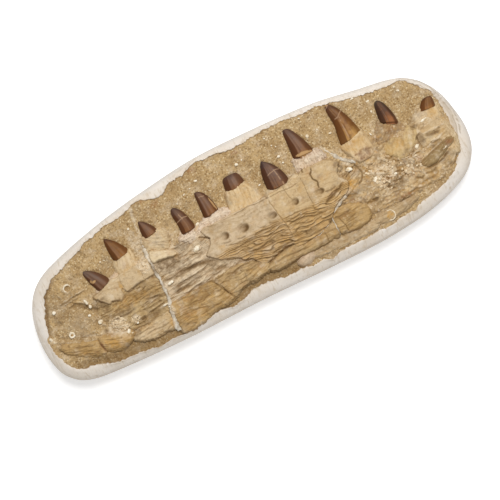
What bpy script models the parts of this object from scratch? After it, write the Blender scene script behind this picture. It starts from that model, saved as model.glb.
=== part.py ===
"""Fossil mosasaur lower jaw in its sandy rock, lying in a white plaster field jacket, at life size.

The jaw lies flat with its left end towards -X and its teeth towards +Y. The origin is on the floor
under the middle of the jacket. Outlines are written in millimetres and become metres in to_metres.
"""

import math
from collections import namedtuple

import bmesh
import bpy
from mathutils import Vector, noise
from mathutils.geometry import delaunay_2d_cdt

MM = 0.001

# Driving dimensions, in metres
JACKET_LENGTH = 0.604
JACKET_WIDTH = 0.204
RIM_HEIGHT = 0.045
JACKET_FLOOR = 0.012
ROCK_TOP = 0.0440
POCKET_FLOOR = 0.0340
PIECE_GAP = 0.0004
BONE_BASE = POCKET_FLOOR + PIECE_GAP
CUT_TOP = 0.080

# How finely the solids follow their surfaces, in metres
ROCK_CELL = 0.0092
BONE_CELL = 0.0085
LATTICE_MARGIN = 0.45
OUTLINE_STEPS = 4

# Outer edge of the jacket seen from above, in millimetres, counter-clockwise from the right end
JACKET_EDGE = [
    (303, -22), (300, 8), (292, 36), (274, 62), (246, 77.5), (200, 86), (140, 96), (60, 101),
    (-20, 102), (-90, 95), (-160, 84), (-230, 67), (-268, 51), (-289, 26), (-299, -8),
    (-299, -44), (-289, -73), (-262, -91), (-205, -97), (-120, -100), (-20, -99.5),
    (70, -102), (150, -102), (220, -94), (272, -76), (296, -51),
]  # fmt: skip

# Where the rock meets the plaster, in millimetres
ROCK_EDGE = [
    (285, -24), (281.5, 8), (279, 32), (269, 51), (251, 67), (222, 71), (185, 79), (152, 87.5),
    (110, 89.5), (60, 91), (5, 93), (-22, 94.5), (-50, 87.5), (-66, 86), (-78, 78.5), (-112, 84.5),
    (-150, 76.5), (-190, 68.5), (-228, 54), (-252, 46), (-270, 30), (-281, 4), (-289.5, -26), (-284, -54),
    (-262, -74), (-228, -84), (-160, -91), (-112, -90.5), (-82, -85.5), (-60, -88), (-28, -80.5),
    (12, -86), (72, -89), (150, -88), (206, -81), (246, -70), (270, -52),
]  # fmt: skip

# The jacket's wall from the floor up: height in metres, and how far it stands in from JACKET_EDGE.
# Its rounded shoulder takes up no more than a share of the rim where that is narrow.
WALL_PROFILE = [
    (0.0000, 0.0130), (0.0020, 0.0082), (0.0090, 0.0030), (0.0180, 0.0004), (0.0270, 0.0000),
    (0.0320, 0.0007), (0.0365, 0.0022), (0.0400, 0.0047), (0.0430, 0.0090),
]  # fmt: skip
SHOULDER_HEIGHT = 0.025
SHOULDER_SHARE = 0.80

# A bone: top and crown are its height and its bulge above that, grain_deg the way that its fibres
# run, ridge the height of the folds along them and pitch their spacing. Heights are in millimetres.
Bone = namedtuple("Bone", "node top crown ridge pitch grain_deg colour outline")

BONES = [
    Bone("jaw_rear", 47.0, 1.2, 0.9, 11, 3, "bone_tan", [
        (-213, 1), (-200, 4), (-185, 12), (-165, 12), (-148, 14), (-131.5, 17), (-131.5, 0),
        (-129.5, -20), (-128.5, -38), (-133, -49), (-150, -53), (-170, -56), (-187, -52),
        (-200, -44), (-212, -38), (-215, -28), (-206, -20), (-203, -12), (-207, -4)]),
    Bone("rear_splinter_outer", 48.0, 2.6, 0.5, 9, -20, "bone_ochre", [
        (-278, -35), (-262, -38), (-248, -43), (-233, -47), (-231.5, -68), (-247, -68.5),
        (-262, -61), (-274, -49)]),
    Bone("rear_splinter_inner", 48.9, 3.6, 0.4, 9, -14, "bone_ochre", [
        (-230.5, -47.5), (-215, -51.5), (-200, -53), (-189, -56), (-191, -63), (-202, -70),
        (-215, -71.5), (-229, -66)]),
    Bone("rear_lower_plate", 48.5, 2.4, 0.5, 9, 4, "bone_ochre", [
        (-189, -62), (-170, -59.5), (-152, -57), (-137.5, -54), (-137.5, -79), (-150, -80),
        (-165, -79), (-180, -75), (-190, -69)]),
    Bone("jaw_rear_middle", 47.0, 0.8, 1.3, 12, 6, "bone_tan", [
        (-131, 21), (-118, 20), (-104, 15), (-90, 12), (-76, 15), (-57, 15), (-56, 8), (-50, 2),
        (-56, -5), (-63, -18), (-55, -25), (-45, -30.5), (-30, -36), (-22, -38), (-14, -44.5),
        (-22, -46), (-40, -44), (-55, -45.5), (-72, -48), (-95, -49), (-115, -51), (-132.5, -48.5),
        (-128, -38), (-129, -20), (-131, 0)]),
    Bone("lower_plate_rear", 49.8, 3.0, 0.5, 10, 3, "bone_ochre", [
        (-132.5, -49.5), (-115, -51.5), (-95, -49.5), (-72.5, -48.5), (-63, -63), (-54.5, -79),
        (-66, -83), (-80, -85), (-97, -88), (-112, -90), (-126, -89.5), (-134, -85), (-136, -66)]),
    Bone("lower_plate_middle", 51.0, 3.0, 0.5, 10, 5, "bone_tan", [
        (-71.5, -48.5), (-55, -46), (-40, -44.5), (-22, -46.5), (-8, -53), (0, -59), (3, -66),
        (-4, -71), (-20, -71.5), (-32, -72.5), (-44, -77), (-54, -79), (-62, -63)]),
    Bone("jaw_middle", 53.6, 1.6, 0.6, 11, -3, "bone_pale", [
        (-57, 15), (-45, 15), (-25, 15), (-8, 16), (10, 16), (25, 15), (37, 15.5), (38, 4),
        (40, -10), (43, -24), (44.5, -38), (43.5, -50), (25, -50), (11, -52.5), (2, -57.5),
        (-5, -55), (-8, -49), (-14, -44.5), (-22, -38), (-30, -36), (-45, -30.5), (-55, -25),
        (-63, -18), (-56, -5), (-50, 2), (-56, 8)]),
    Bone("jaw_front_middle", 53.1, 1.4, 0.6, 11, -2, "bone_pale", [
        (37, 15.5), (60, 17), (80, 18), (90, 25), (110, 27), (122, 25), (130, 20), (135, 14), (132, 6),
        (128, 0), (131, -8), (136, -14), (132, -22), (124, -29), (112, -37), (98, -46),
        (80, -54), (60, -57), (44, -57), (44.5, -38), (43, -24), (40, -10), (38, 4)]),
    Bone("lower_bar_rear", 51.5, 4.0, 0.0, 10, 2, "bone_ochre", [
        (3, -59), (12, -54), (25, -51.5), (43, -51), (44, -58.5), (60, -58.5), (80, -55.5),
        (96.5, -48.5), (98, -67), (80, -70), (60, -70), (40, -69), (20, -72), (4, -72)]),
    Bone("lower_bar_front", 50.8, 4.0, 0.0, 10, -2, "bone_ochre", [
        (99, -47), (112, -40), (125, -41), (138, -46), (144.5, -52), (143, -63), (133, -70),
        (115, -71), (101, -68)]),
    Bone("jaw_front", 48.2, 1.2, 1.0, 19, 12, "bone_tan", [
        (144, 11), (160, 12), (180, 13.5), (190, 9), (200, 10), (225, 12), (240, 13), (252, 17),
        (268, 12), (278, -1), (281, -16), (279.5, -31), (273.5, -43), (260, -53.5), (243, -61),
        (225, -64), (205, -65), (180, -65.5), (160, -66), (146, -65), (145.5, -52), (138, -46),
        (125, -41), (112, -40), (112, -37), (124, -29), (132, -22), (136, -14), (131, -8),
        (128, 0), (132, 6), (135, 14)]),
    Bone("lower_front_bar", 47.9, 2.6, 0.0, 8, 3, "bone_ochre", [
        (149, -67.5), (175, -66.5), (203, -66.5), (207, -71), (196, -76), (173, -81), (153, -81)]),
]  # fmt: skip

# Loose plates that lie in pockets of the rough front end of the jaw
FRONT_PLATES = [
    Bone("front_plate", 51.5, 1.4, 0.0, 9, 4, "bone_pale", [
        (195, 3), (208, 7), (224, 9), (238, 8.5), (242, 3), (236, -1), (231, -9), (221, -15.5),
        (206, -19.5), (201, -13), (196, -7)]),
    Bone("front_splinter", 51.5, 1.6, 0.0, 9, 20, "bone_pale", [
        (229, -33), (250, -28), (270, -20), (274, -27), (264, -35), (250, -41.5), (231, -42)]),
]  # fmt: skip

# Smooth plates that stand above the layered bone they are part of, and the roots and crusts of bone
# under the teeth, from the left end to the right: each is fused to the bone that it names
FUSED_PLATES = [
    Bone("jaw_rear", 50.2, 1.2, 0.2, 12, 3, "bone_tan", [
        (-211, 1), (-194, 6), (-184, 10.5), (-160, 12), (-141, 12.5), (-132.5, 13), (-132.5, -8),
        (-150, -8.5), (-172, -12), (-179, -17), (-198, -14), (-204, -10)]),
    Bone("jaw_rear_middle", 50.4, 0.8, 0.2, 9, -22, "bone_tan", [
        (-125.5, 18), (-111, 13), (-99, 7), (-97, 2), (-106, -1), (-127, 5)]),
    Bone("jaw_rear", 47.0, 3.6, 0.0, 9, 88, "bone_tan", [
        (-171, 27.5), (-159, 33.5), (-146, 32.5), (-145, 25), (-147, 9), (-170, 9), (-172, 18)]),
    Bone("jaw_rear_middle", 47.2, 1.8, 0.0, 9, 60, "bone_tan", [
        (-125.5, 37), (-115, 38), (-103, 41.5), (-98, 34), (-97.5, 25), (-102, 12), (-124, 16), (-127, 27)]),
    Bone("jaw_rear_middle", 48.2, 1.6, 0.0, 9, 5, "bone_tan", [
        (-81, 20), (-69.5, 18), (-58.5, 21), (-58.3, 11), (-62, 6), (-74, 5), (-82, 9)]),
    Bone("jaw_middle", 49.4, 1.8, 0.0, 9, 5, "bone_tan", [
        (-54.5, 20), (-47, 25), (-38, 24.5), (-23, 27.5), (-16, 24), (-12, 18), (-14, 12), (-54, 12)]),
    Bone("jaw_middle", 48.8, 4.0, 0.0, 9, 88, "bone_tan", [
        (-7, 40.5), (0, 43), (15, 43.2), (21.5, 41), (25, 33), (31.5, 17), (30, 12), (-14, 12), (-9.5, 32)]),
    Bone("jaw_front_middle", 49.8, 1.2, 0.0, 9, 3, "bone_tan", [
        (40, 20.5), (56, 19), (66, 19.5), (79, 24), (85, 21), (84, 14), (40, 12)]),
    Bone("jaw_front_middle", 49.0, 2.8, 0.0, 9, 5, "bone_tan", [
        (85, 35), (88, 40.5), (103, 38), (118, 40), (123, 34), (124, 22), (112, 19), (98, 19), (87, 20)]),
    Bone("jaw_front", 47.8, 3.8, 0.0, 9, 88, "bone_tan", [
        (148.5, 28.5), (156, 31.5), (172, 34.5), (180, 32.5), (182.5, 22), (183.5, 7), (176, 2), (160, 4),
        (153, 14)]),
    Bone("jaw_front", 47.6, 2.4, 0.0, 9, 80, "bone_tan", [
        (204, 32), (214, 29), (226, 24.5), (230, 22), (231, 10), (222, 6), (205, 5), (200, 13)]),
    Bone("jaw_front", 46.6, 2.4, 0.0, 9, 85, "bone_tan", [
        (245, 21), (252, 24.5), (262, 24), (270, 24), (276.5, 19), (276, 8), (266, 4), (252, 7), (243, 11)]),
]  # fmt: skip

# A tooth: the bone that it grows from, the middle of its base, its tip, the widths at both and how
# far its middle bows towards +X. All in millimetres.
Tooth = namedtuple("Tooth", "node base tip width tip_width bow")

TEETH = [
    Tooth("jaw_rear", (-194.5, 8.7), (-211.5, 36.5), 23, 6, 2.0),
    Tooth("jaw_rear", (-159, 31), (-169.5, 61), 26, 4, 1.8),
    Tooth("jaw_rear_middle", (-114.5, 38), (-122.5, 60.5), 22, 4, 1.5),
    Tooth("jaw_rear_middle", (-69.5, 20), (-77, 57), 20, 5, 2.5),
    Tooth("jaw_middle", (-35.5, 27.5), (-42, 61), 20, 5, 1.0),
    Tooth("jaw_middle", (6.5, 42.5), (6, 61.5), 29, 19, 0.0),
    Tooth("jaw_front_middle", (57, 20), (50.5, 58), 31, 5, 1.4),
    Tooth("jaw_front_middle", (102, 39.5), (95, 80.5), 28, 9, 1.5),
    Tooth("jaw_front", (164, 31), (154.5, 84), 31, 6, 3.0),
    Tooth("jaw_front", (215.5, 29), (212, 60), 21, 9, 1.6),
    Tooth("jaw_front", (265.5, 22.5), (270, 35.5), 21, 12, 0.0),
]

# Crowns: the rise above the rock as a share of the width, the two powers that shape the taper, the
# sections from base to tip, the sides of a section and the length hidden in the root
CROWN_LIFT = 0.33
CROWN_TAPER = (1.6, 0.68)
CROWN_STATIONS = 7
CROWN_CROWDING = 1.25
CROWN_SIDES = 8
CROWN_SINK = 0.005

# The sandy rock: swells as waves per metre, height and seed, and the steepest rise from its edge
ROCK_WAVES = [(28, 0.0012, 0.4), (75, 0.0006, 7.1)]
EDGE_SLOPE = 0.45
# A low disc at its left end and a hollow beside that: middle, half axes and height
ROCK_DOMES = [
    ((-0.243, -0.021), (0.023, 0.019), 0.0036),
    ((-0.210, -0.010), (0.009, 0.014), -0.0026),
]
# Banks of stony crust along its lower side: both ends, half a width and a height
ROCK_BANKS = [
    ((0.060, -0.0775), (0.142, -0.0775), 0.009, 0.0040),
    ((0.042, -0.0770), (0.051, -0.0770), 0.009, 0.0055),
]
# Its lower side falls away between these two Y, left of these two X
LOW_SIDE_DROP = 0.0018
LOW_SIDE_Y = (-0.060, -0.076)
LOW_SIDE_X = (0.060, 0.020)

# The bones: their lumps as waves per metre and rise, the rough front end's own rise, the bends of
# their folds and their worn edges
BONE_LUMPS = 34
BONE_LUMP_RISE = 0.7
ROUGH_BONE = "jaw_front"
ROUGH_LUMP_RISE = 2.2
FOLD_SWAY = 1.3
FOLD_SWAY_LENGTH = 0.045
BONE_EDGE_DROP = 1.4
BONE_EDGE_WIDTH = 0.004

COLOURS = {
    "plaster": ((0.80, 0.77, 0.73), 0.85),
    "rock": ((0.42, 0.31, 0.17), 0.95),
    "bone_tan": ((0.45, 0.33, 0.19), 0.80),
    "bone_ochre": ((0.50, 0.34, 0.14), 0.75),
    "bone_pale": ((0.55, 0.43, 0.28), 0.75),
}


def to_metres(points):
    """Points written in millimetres, as 2-D vectors in metres."""
    return [Vector((x * MM, y * MM)) for x, y in points]


def smooth_loop(points, steps=OUTLINE_STEPS):
    """A closed Catmull-Rom curve through the points."""
    curve = []
    count = len(points)
    for i in range(count):
        a, b, c, d = (points[(i + k) % count] for k in (-1, 0, 1, 2))
        for k in range(steps):
            t = k / steps
            curve.append(
                0.5 * (2 * b + t * (c - a) + t * t * (2 * a - 5 * b + 4 * c - d)
                       + t ** 3 * (3 * b - a - 3 * c + d))
            )  # fmt: skip
    return curve


def fit_to(points, length, width):
    """The loop centred on the origin and brought to an exact length and width."""
    low = Vector((min(p.x for p in points), min(p.y for p in points)))
    high = Vector((max(p.x for p in points), max(p.y for p in points)))
    middle, size = (low + high) / 2, high - low
    return [
        Vector(((p.x - middle.x) * length / size.x, (p.y - middle.y) * width / size.y))
        for p in points
    ]


def signed_area(points):
    return 0.5 * sum(a.cross(b) for a, b in zip(points, points[1:] + points[:1]))


def inset(points, distance):
    """The loop moved in by a distance, or out where that is negative."""
    turn = 1.0 if signed_area(points) > 0 else -1.0
    moved = []
    count = len(points)
    for i, p in enumerate(points):
        before = (p - points[i - 1]).normalized()
        after = (points[(i + 1) % count] - p).normalized()
        first = Vector((-before.y, before.x)) * turn
        second = Vector((-after.y, after.x)) * turn
        middle = (first + second).normalized()
        moved.append(p + middle * distance / max(0.5, middle.dot(first)))
    return moved


def inside(p, loop):
    """True if the point lies in the loop, by crossings of a ray along +X."""
    crossings = 0
    for a, b in zip(loop, loop[1:] + loop[:1]):
        if (a.y > p.y) != (b.y > p.y) and p.x < a.x + (p.y - a.y) / (b.y - a.y) * (b.x - a.x):
            crossings += 1
    return crossings % 2 == 1


def edge_distance(p, loop):
    """How far the point is from the loop's nearest side."""
    nearest = math.inf
    for a, b in zip(loop, loop[1:] + loop[:1]):
        side = b - a
        t = max(0.0, min(1.0, (p - a).dot(side) / side.length_squared))
        nearest = min(nearest, (p - a - side * t).length)
    return nearest


def meet_inward(p, direction, loop):
    """Where a ray from the point first meets the loop."""
    nearest = math.inf
    for a, b in zip(loop, loop[1:] + loop[:1]):
        side = b - a
        across = direction.cross(side)
        if abs(across) < 1e-12:
            continue
        t = (a - p).cross(side) / across
        s = (a - p).cross(direction) / across
        if t > 0 and -1e-9 <= s <= 1 + 1e-9:
            nearest = min(nearest, t)
    return p + direction * nearest


def material(name):
    colour, roughness = COLOURS[name]
    found = bpy.data.materials.get(name)
    if found:
        return found
    made = bpy.data.materials.new(name)
    made.use_nodes = True
    shader = made.node_tree.nodes["Principled BSDF"]
    shader.inputs["Base Color"].default_value = (*colour, 1.0)
    shader.inputs["Roughness"].default_value = roughness
    shader.inputs["Metallic"].default_value = 0.0
    return made


def add_object(name, bm, colour):
    """The bmesh as a named object in the scene, facing out."""
    bmesh.ops.recalc_face_normals(bm, faces=bm.faces)
    mesh = bpy.data.meshes.new(name)
    bm.to_mesh(mesh)
    bm.free()
    made = bpy.data.objects.new(name, mesh)
    bpy.context.scene.collection.objects.link(made)
    mesh.materials.append(material(colour))
    return made


def drop_and_close(bm, low):
    """Closes an open relief with a wall down to a flat base."""
    rim = [e for e in bm.edges if e.is_boundary]
    made = bmesh.ops.extrude_edge_only(bm, edges=rim)["geom"]
    for v in made:
        if isinstance(v, bmesh.types.BMVert):
            v.co.z = low
    foot = [e for e in made if isinstance(e, bmesh.types.BMEdge) and e.is_boundary]
    bmesh.ops.contextual_create(bm, geom=foot)


def sweep(bm, loops):
    """A closed body that runs through loops of equal length, one after another."""
    place = bm.verts.layers.int.new("place")
    face = bm.faces.new([bm.verts.new(p) for p in loops[0]])
    for number, vertex in enumerate(face.verts):
        vertex[place] = number
    for i, loop in enumerate(loops[1:]):
        made = bmesh.ops.extrude_face_region(bm, geom=[face])["geom"]
        if i:
            bmesh.ops.delete(bm, geom=[face], context="FACES_ONLY")
        face = next(f for f in made if isinstance(f, bmesh.types.BMFace))
        for vertex in face.verts:
            vertex.co = loop[vertex[place]]


def prism(name, loop, low, high, colour="rock"):
    """A closed straight-sided block over a loop."""
    bm = bmesh.new()
    face = bm.faces.new([bm.verts.new((p.x, p.y, high)) for p in loop])
    face.normal_update()
    drop_and_close(bm, low)
    return add_object(name, bm, colour)


def relief_slab(name, loop, low, height, cell, colour):
    """A closed block over a loop, whose top follows height(point, distance from the edge)."""
    points, edges = list(loop), [(i, (i + 1) % len(loop)) for i in range(len(loop))]
    rows = int((max(p.y for p in loop) - min(p.y for p in loop)) / cell) + 1
    columns = int((max(p.x for p in loop) - min(p.x for p in loop)) / cell) + 1
    corner = Vector((min(p.x for p in loop), min(p.y for p in loop)))
    for row in range(rows + 1):
        for column in range(columns + 1):
            p = corner + Vector(((column + 0.5 * (row % 2)) * cell, row * cell))
            if inside(p, loop) and edge_distance(p, loop) > LATTICE_MARGIN * cell:
                points.append(p)
    vertices, _, faces, *_ = delaunay_2d_cdt(points, edges, [], 1, 1e-7)
    bm = bmesh.new()
    made = [bm.verts.new((v.x, v.y, height(v, edge_distance(v, loop)))) for v in vertices]
    for face in faces:
        bm.faces.new([made[i] for i in face])
    drop_and_close(bm, low)
    return add_object(name, bm, colour)


def slope(value, ends):
    """0 at the first end, 1 at the second and a straight slope between them."""
    return max(0.0, min(1.0, (value - ends[0]) / (ends[1] - ends[0])))


def rock_height(p, from_edge):
    """The sandy surface: slow swells, the forms of its left end and the banks of its lower side."""
    height = ROCK_TOP
    for waves, rise, place in ROCK_WAVES:
        height += rise * noise.noise(Vector((p.x * waves, p.y * waves, place)))
    for middle, half, rise in ROCK_DOMES:
        off = [(a - b) / c for a, b, c in zip(p, middle, half)]
        height += rise * math.sqrt(max(0.0, 1.0 - off[0] ** 2 - off[1] ** 2))
    for start, end, half, rise in ROCK_BANKS:
        away = edge_distance(p, [Vector(start), Vector(end)]) / half
        height += rise * math.sqrt(max(0.0, 1.0 - away ** 2))
    height -= LOW_SIDE_DROP * slope(p.y, LOW_SIDE_Y) * slope(p.x, LOW_SIDE_X)
    return min(height, ROCK_TOP + EDGE_SLOPE * from_edge)


def bone_height(bone, loop):
    """The top of a bone: bulged across its grain, folded along it and rounded at its edge."""
    angle = math.radians(bone.grain_deg)
    along = Vector((math.cos(angle), math.sin(angle)))
    across = Vector((-along.y, along.x))
    sides = [p.dot(across) for p in loop]
    middle, half = (max(sides) + min(sides)) / 2, (max(sides) - min(sides)) / 2
    lump_rise = ROUGH_LUMP_RISE if bone.node == ROUGH_BONE and bone in BONES else BONE_LUMP_RISE

    def height(p, from_edge):
        u, v = p.dot(along), p.dot(across) - middle
        bulge = 1.0 - (v / half) ** 2
        fold = math.sin(2 * math.pi * v / (bone.pitch * MM) + FOLD_SWAY * math.sin(u / FOLD_SWAY_LENGTH))
        lump = noise.noise(Vector((p.x * BONE_LUMPS, p.y * BONE_LUMPS, bone.top)))
        worn = BONE_EDGE_DROP * max(0.0, 1.0 - from_edge / BONE_EDGE_WIDTH)
        rise = bone.crown * bulge + bone.ridge * fold + lump_rise * lump - worn
        return (bone.top + rise) * MM

    return height


def crown_section(tooth, share):
    """Middle, sideways direction and half width of a crown at a share of its length."""
    base, tip = Vector(tooth.base) * MM, Vector(tooth.tip) * MM
    axis = tip - base
    side = Vector((axis.y, -axis.x)).normalized()
    middle = base + axis * share + side * tooth.bow * MM * 4 * share * (1 - share)
    power, fall = CROWN_TAPER
    width = tooth.tip_width + (tooth.width - tooth.tip_width) * (1 - max(0.0, share) ** power) ** fall
    return middle, side, width * MM / 2


def crown_shares(tooth):
    """The shares of a crown's length at its sections, from under its base to its tip."""
    length = (Vector(tooth.tip) - Vector(tooth.base)).length * MM
    last = CROWN_STATIONS - 1
    return [-CROWN_SINK / length] + [
        1 - (1 - station / last) ** CROWN_CROWDING for station in range(1, CROWN_STATIONS)
    ]


def crown(tooth, name):
    """A tooth crown half sunk in the rock: domed above, straight-sided below, swept base to tip."""
    rings = []
    for share in crown_shares(tooth):
        middle, side, half = crown_section(tooth, share)
        points = [(-half, BONE_BASE)]
        for k in range(CROWN_SIDES + 1):
            turn = math.pi * (1 - k / CROWN_SIDES)
            lift = 2 * CROWN_LIFT * half
            points.append((half * math.cos(turn), ROCK_TOP + lift * math.sin(turn)))
        points.append((half, BONE_BASE))
        rings.append([Vector((*(middle + side * s), z)) for s, z in points])
    bm = bmesh.new()
    sweep(bm, rings)
    return add_object(name, bm, "bone_tan")


def crown_foot(tooth):
    """The loop that a crown covers from above."""
    left, right = [], []
    for share in crown_shares(tooth):
        middle, side, half = crown_section(tooth, share)
        left.append(middle - side * half)
        right.append(middle + side * half)
    return right + left[::-1]


def apply_boolean(target, others, operation):
    """One Boolean with a collection of closed objects, applied, and the objects then removed."""
    group = bpy.data.collections.new("joined")
    for other in others:
        group.objects.link(other)
    modifier = target.modifiers.new("boolean", "BOOLEAN")
    modifier.operation = operation
    modifier.operand_type = "COLLECTION"
    modifier.collection = group
    modifier.solver = "MANIFOLD"
    graph = bpy.context.evaluated_depsgraph_get()
    mesh = bpy.data.meshes.new_from_object(target.evaluated_get(graph))
    target.modifiers.clear()
    mesh.name = target.name
    target.data = mesh
    for other in others:
        bpy.data.objects.remove(other)
    bpy.data.collections.remove(group)
    keep_largest(target)


def keep_largest(target):
    """Leaves only the largest closed surface of an object."""
    bm = bmesh.new()
    bm.from_mesh(target.data)
    left, bodies = set(bm.verts), []
    while left:
        body, front = set(), {left.pop()}
        while front:
            body |= front
            front = {e.other_vert(v) for v in front for e in v.link_edges} - body
        left -= body
        bodies.append(body)
    bodies.sort(key=len)
    bmesh.ops.delete(bm, geom=[v for body in bodies[:-1] for v in body], context="VERTS")
    bm.to_mesh(target.data)
    bm.free()


def make_jacket(edge, rock_edge):
    """The plaster jacket, a rounded tray swept up its wall, over its rim and down to its floor.

    Gives back the rim's inner edge, which the rock fills.
    """
    bm = bmesh.new()
    # The rim's inner edge lies straight inwards from its outer edge, on the rock's outline
    inward, crest = [], []
    for i, p in enumerate(edge):
        along = (edge[(i + 1) % len(edge)] - edge[i - 1]).normalized()
        inward.append(Vector((-along.y, along.x)))
        crest.append(meet_inward(p, inward[-1], rock_edge))
    loops = []
    for z, distance in WALL_PROFILE:
        loop = []
        for p, direction, inner in zip(edge, inward, crest):
            widest = SHOULDER_SHARE * (inner - p).length if z > SHOULDER_HEIGHT else distance
            loop.append(p + direction * min(distance, widest))
        loops.append((z, loop))
    loops += [(RIM_HEIGHT, crest), (JACKET_FLOOR, crest)]
    sweep(bm, [[Vector((*p, z)) for p in loop] for z, loop in loops])
    add_object("plaster_jacket", bm, "plaster")
    return crest


def make_slab(bone, name):
    """The closed block of a bone or a plate, and the loop that it covers."""
    loop = inset(to_metres(bone.outline), PIECE_GAP / 2)
    return relief_slab(name, loop, BONE_BASE, bone_height(bone, loop), BONE_CELL, bone.colour), loop


def make_bones():
    """Makes every bone with its plates, roots and teeth fused to it, and gives back what they cover."""
    covered = []
    for bone in BONES + FRONT_PLATES:
        made, loop = make_slab(bone, bone.node)
        if bone in FRONT_PLATES:
            # The seat goes a gap below the plate, which is down through the whole of the jaw
            seat = prism("seat", inset(loop, -PIECE_GAP), BONE_BASE - PIECE_GAP, CUT_TOP)
            apply_boolean(bpy.data.objects["jaw_front"], [seat], "DIFFERENCE")
        covered.append(loop)
        added = []
        for number, tooth in enumerate(t for t in TEETH if t.node == bone.node):
            added.append(crown(tooth, f"crown_{number}"))
            covered.append(crown_foot(tooth))
        for number, plate in enumerate(b for b in FUSED_PLATES if b.node == bone.node):
            slab, foot = make_slab(plate, f"plate_{number}")
            added.append(slab)
            covered.append(foot)
        if added:
            apply_boolean(made, added, "UNION")
    return covered


def make_rock(crest, covered):
    """The rock, filling the jacket, with a pocket under each bone, root and tooth."""
    loop = inset(crest, PIECE_GAP)
    rock = relief_slab("rock_matrix", loop, JACKET_FLOOR + PIECE_GAP, rock_height, ROCK_CELL, "rock")
    cutters = [
        prism(f"pocket_{i}", inset(foot, -PIECE_GAP), POCKET_FLOOR, CUT_TOP)
        for i, foot in enumerate(covered)
    ]
    apply_boolean(rock, cutters, "DIFFERENCE")


def main():
    for old in list(bpy.data.objects):
        bpy.data.objects.remove(old)
    edge = fit_to(smooth_loop(to_metres(JACKET_EDGE)), JACKET_LENGTH, JACKET_WIDTH)
    rock_edge = smooth_loop(to_metres(ROCK_EDGE))
    crest = make_jacket(edge, rock_edge)
    covered = make_bones()
    make_rock(crest, covered)


main()
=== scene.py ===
"""The looks of a fossil mosasaur jaw that lies in sandy rock in a white plaster jacket.

Every piece is written in millimetres in the model's own frame: X runs along the jaw to its front end,
Y towards its teeth and Z up out of the rock. finished() turns a mesh into a piece in metres.
"""

import math
from collections import namedtuple

import bmesh
import bpy
import numpy as np
from mathutils import Matrix, Vector


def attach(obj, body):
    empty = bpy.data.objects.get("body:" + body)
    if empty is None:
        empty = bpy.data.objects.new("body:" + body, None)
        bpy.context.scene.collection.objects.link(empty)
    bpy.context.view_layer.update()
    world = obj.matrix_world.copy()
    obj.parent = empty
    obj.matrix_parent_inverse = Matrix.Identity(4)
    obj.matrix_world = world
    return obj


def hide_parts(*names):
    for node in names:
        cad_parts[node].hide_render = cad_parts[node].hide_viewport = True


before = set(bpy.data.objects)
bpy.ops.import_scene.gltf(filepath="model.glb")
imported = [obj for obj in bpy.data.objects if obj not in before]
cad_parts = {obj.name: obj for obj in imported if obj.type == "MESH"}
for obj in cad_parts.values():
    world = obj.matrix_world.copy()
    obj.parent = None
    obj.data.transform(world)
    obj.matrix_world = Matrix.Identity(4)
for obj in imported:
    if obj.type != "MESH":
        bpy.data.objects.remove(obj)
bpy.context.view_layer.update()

MM = 0.001

# Heights above the floor
RIM_TOP = 45.0
ROCK_TOP = 44.0
POCKET_FLOOR = 34.2
TRAY_FLOOR = 12.4
HIGHEST = 55.6
# The finest steps of the meshes, and how finely the crowns and the loose grains are made
ROCK_CELL = 0.85
BONE_CELL = 0.5
PLASTER_STEP = 1.3
CROWN_AROUND = 72
CROWN_ALONG = 96
GRAIN_DOUBLINGS = 12
# How far the rock's edge is bitten, how far it runs on under the plaster's rim, and the seeds of the
# rock's and of the bones' bitten edges
ROCK_BITE = 2.0
UNDER_RIM = 1.0
ROCK_SEED = 900
BITE_SEED = 60
# A bone's broken edge slopes down over this width outside its outline, to this height
APRON = 3.0
APRON_FOOT = 43.4
# A crown's height as a share of its half width, how full its dome is, the half width from which it
# rises no higher, and how deep it reaches down
CROWN_RISE = 0.64
CROWN_DOME = 0.60
CROWN_WIDEST = 15.2
CROWN_DEEPEST = 6.5
# How far off its middle the bottom of a nutrient opening lies, as a share of its size
BOWL_BOTTOM = 0.42
# The half sizes of the loose grains, and how many of them are larger, by how much
GRAIN_SIZES = (0.26, 0.58)
GRAIN_LARGE_SHARE = 0.05
GRAIN_LARGER = 1.7
# Half the jacket's length and width
JACKET_HALF_SIZE = (302.0, 102.0)
# The height from which the jacket's wall leans in with its rim, the share of the rim's width that it
# leans over, the rim's rows, its least and its greatest width, and the step of the search for it
WALL_LEANS_FROM = 25.0
WALL_SHARE = 0.80
RIM_ROWS = 9
RIM_NARROWEST = 2.0
RIM_WIDEST = 40.0
RIM_SEARCH = 0.25

# The camera looks straight down, turned so that the jaw rises to the right as in the photo
CAMERA_TURN = math.radians(-27.0)
CAMERA_AIM = (-12.1, -34.7)
CAMERA_LENS = 85.0
CAMERA_SENSOR = 36.0
VIEW_WIDTH = 625.8

# Light comes from the top of the photo, high up and soft; its distance and size are in metres
LIGHT_TOWARDS = (0.454, 0.891)
LIGHT_HEIGHT = math.radians(70)
LIGHT_DISTANCE = 1.7
LIGHT_SIZE = 0.75
LIGHT_POWER = 20.5
SKY = 0.42
# The floor is a softly lit table, in metres, so that the shadow on it stays light
FLOOR_SIZE = 3.0
FLOOR_GLOW = 0.32


def tint(red, green, blue):
    """A colour as the eye reads it, 0 to 255, turned into the linear one that a shader wants."""
    def linear(value):
        value /= 255
        return value / 12.92 if value <= 0.04045 else ((value + 0.055) / 1.055) ** 2.4

    return (linear(red), linear(green), linear(blue), 1.0)


def smooth(low, high, value):
    """0 below low, 1 above high and an S-shaped slope between them."""
    t = np.clip((value - low) / (high - low), 0, 1)
    return t * t * (3 - 2 * t)


def lenses(along, across, length, width, seed):
    """Long flat lenses with creases between them: 1 on a lens and 0 in a crease."""
    return smooth(0.0, 0.26, np.abs(noise(along / length, across / width, seed)))


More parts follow.
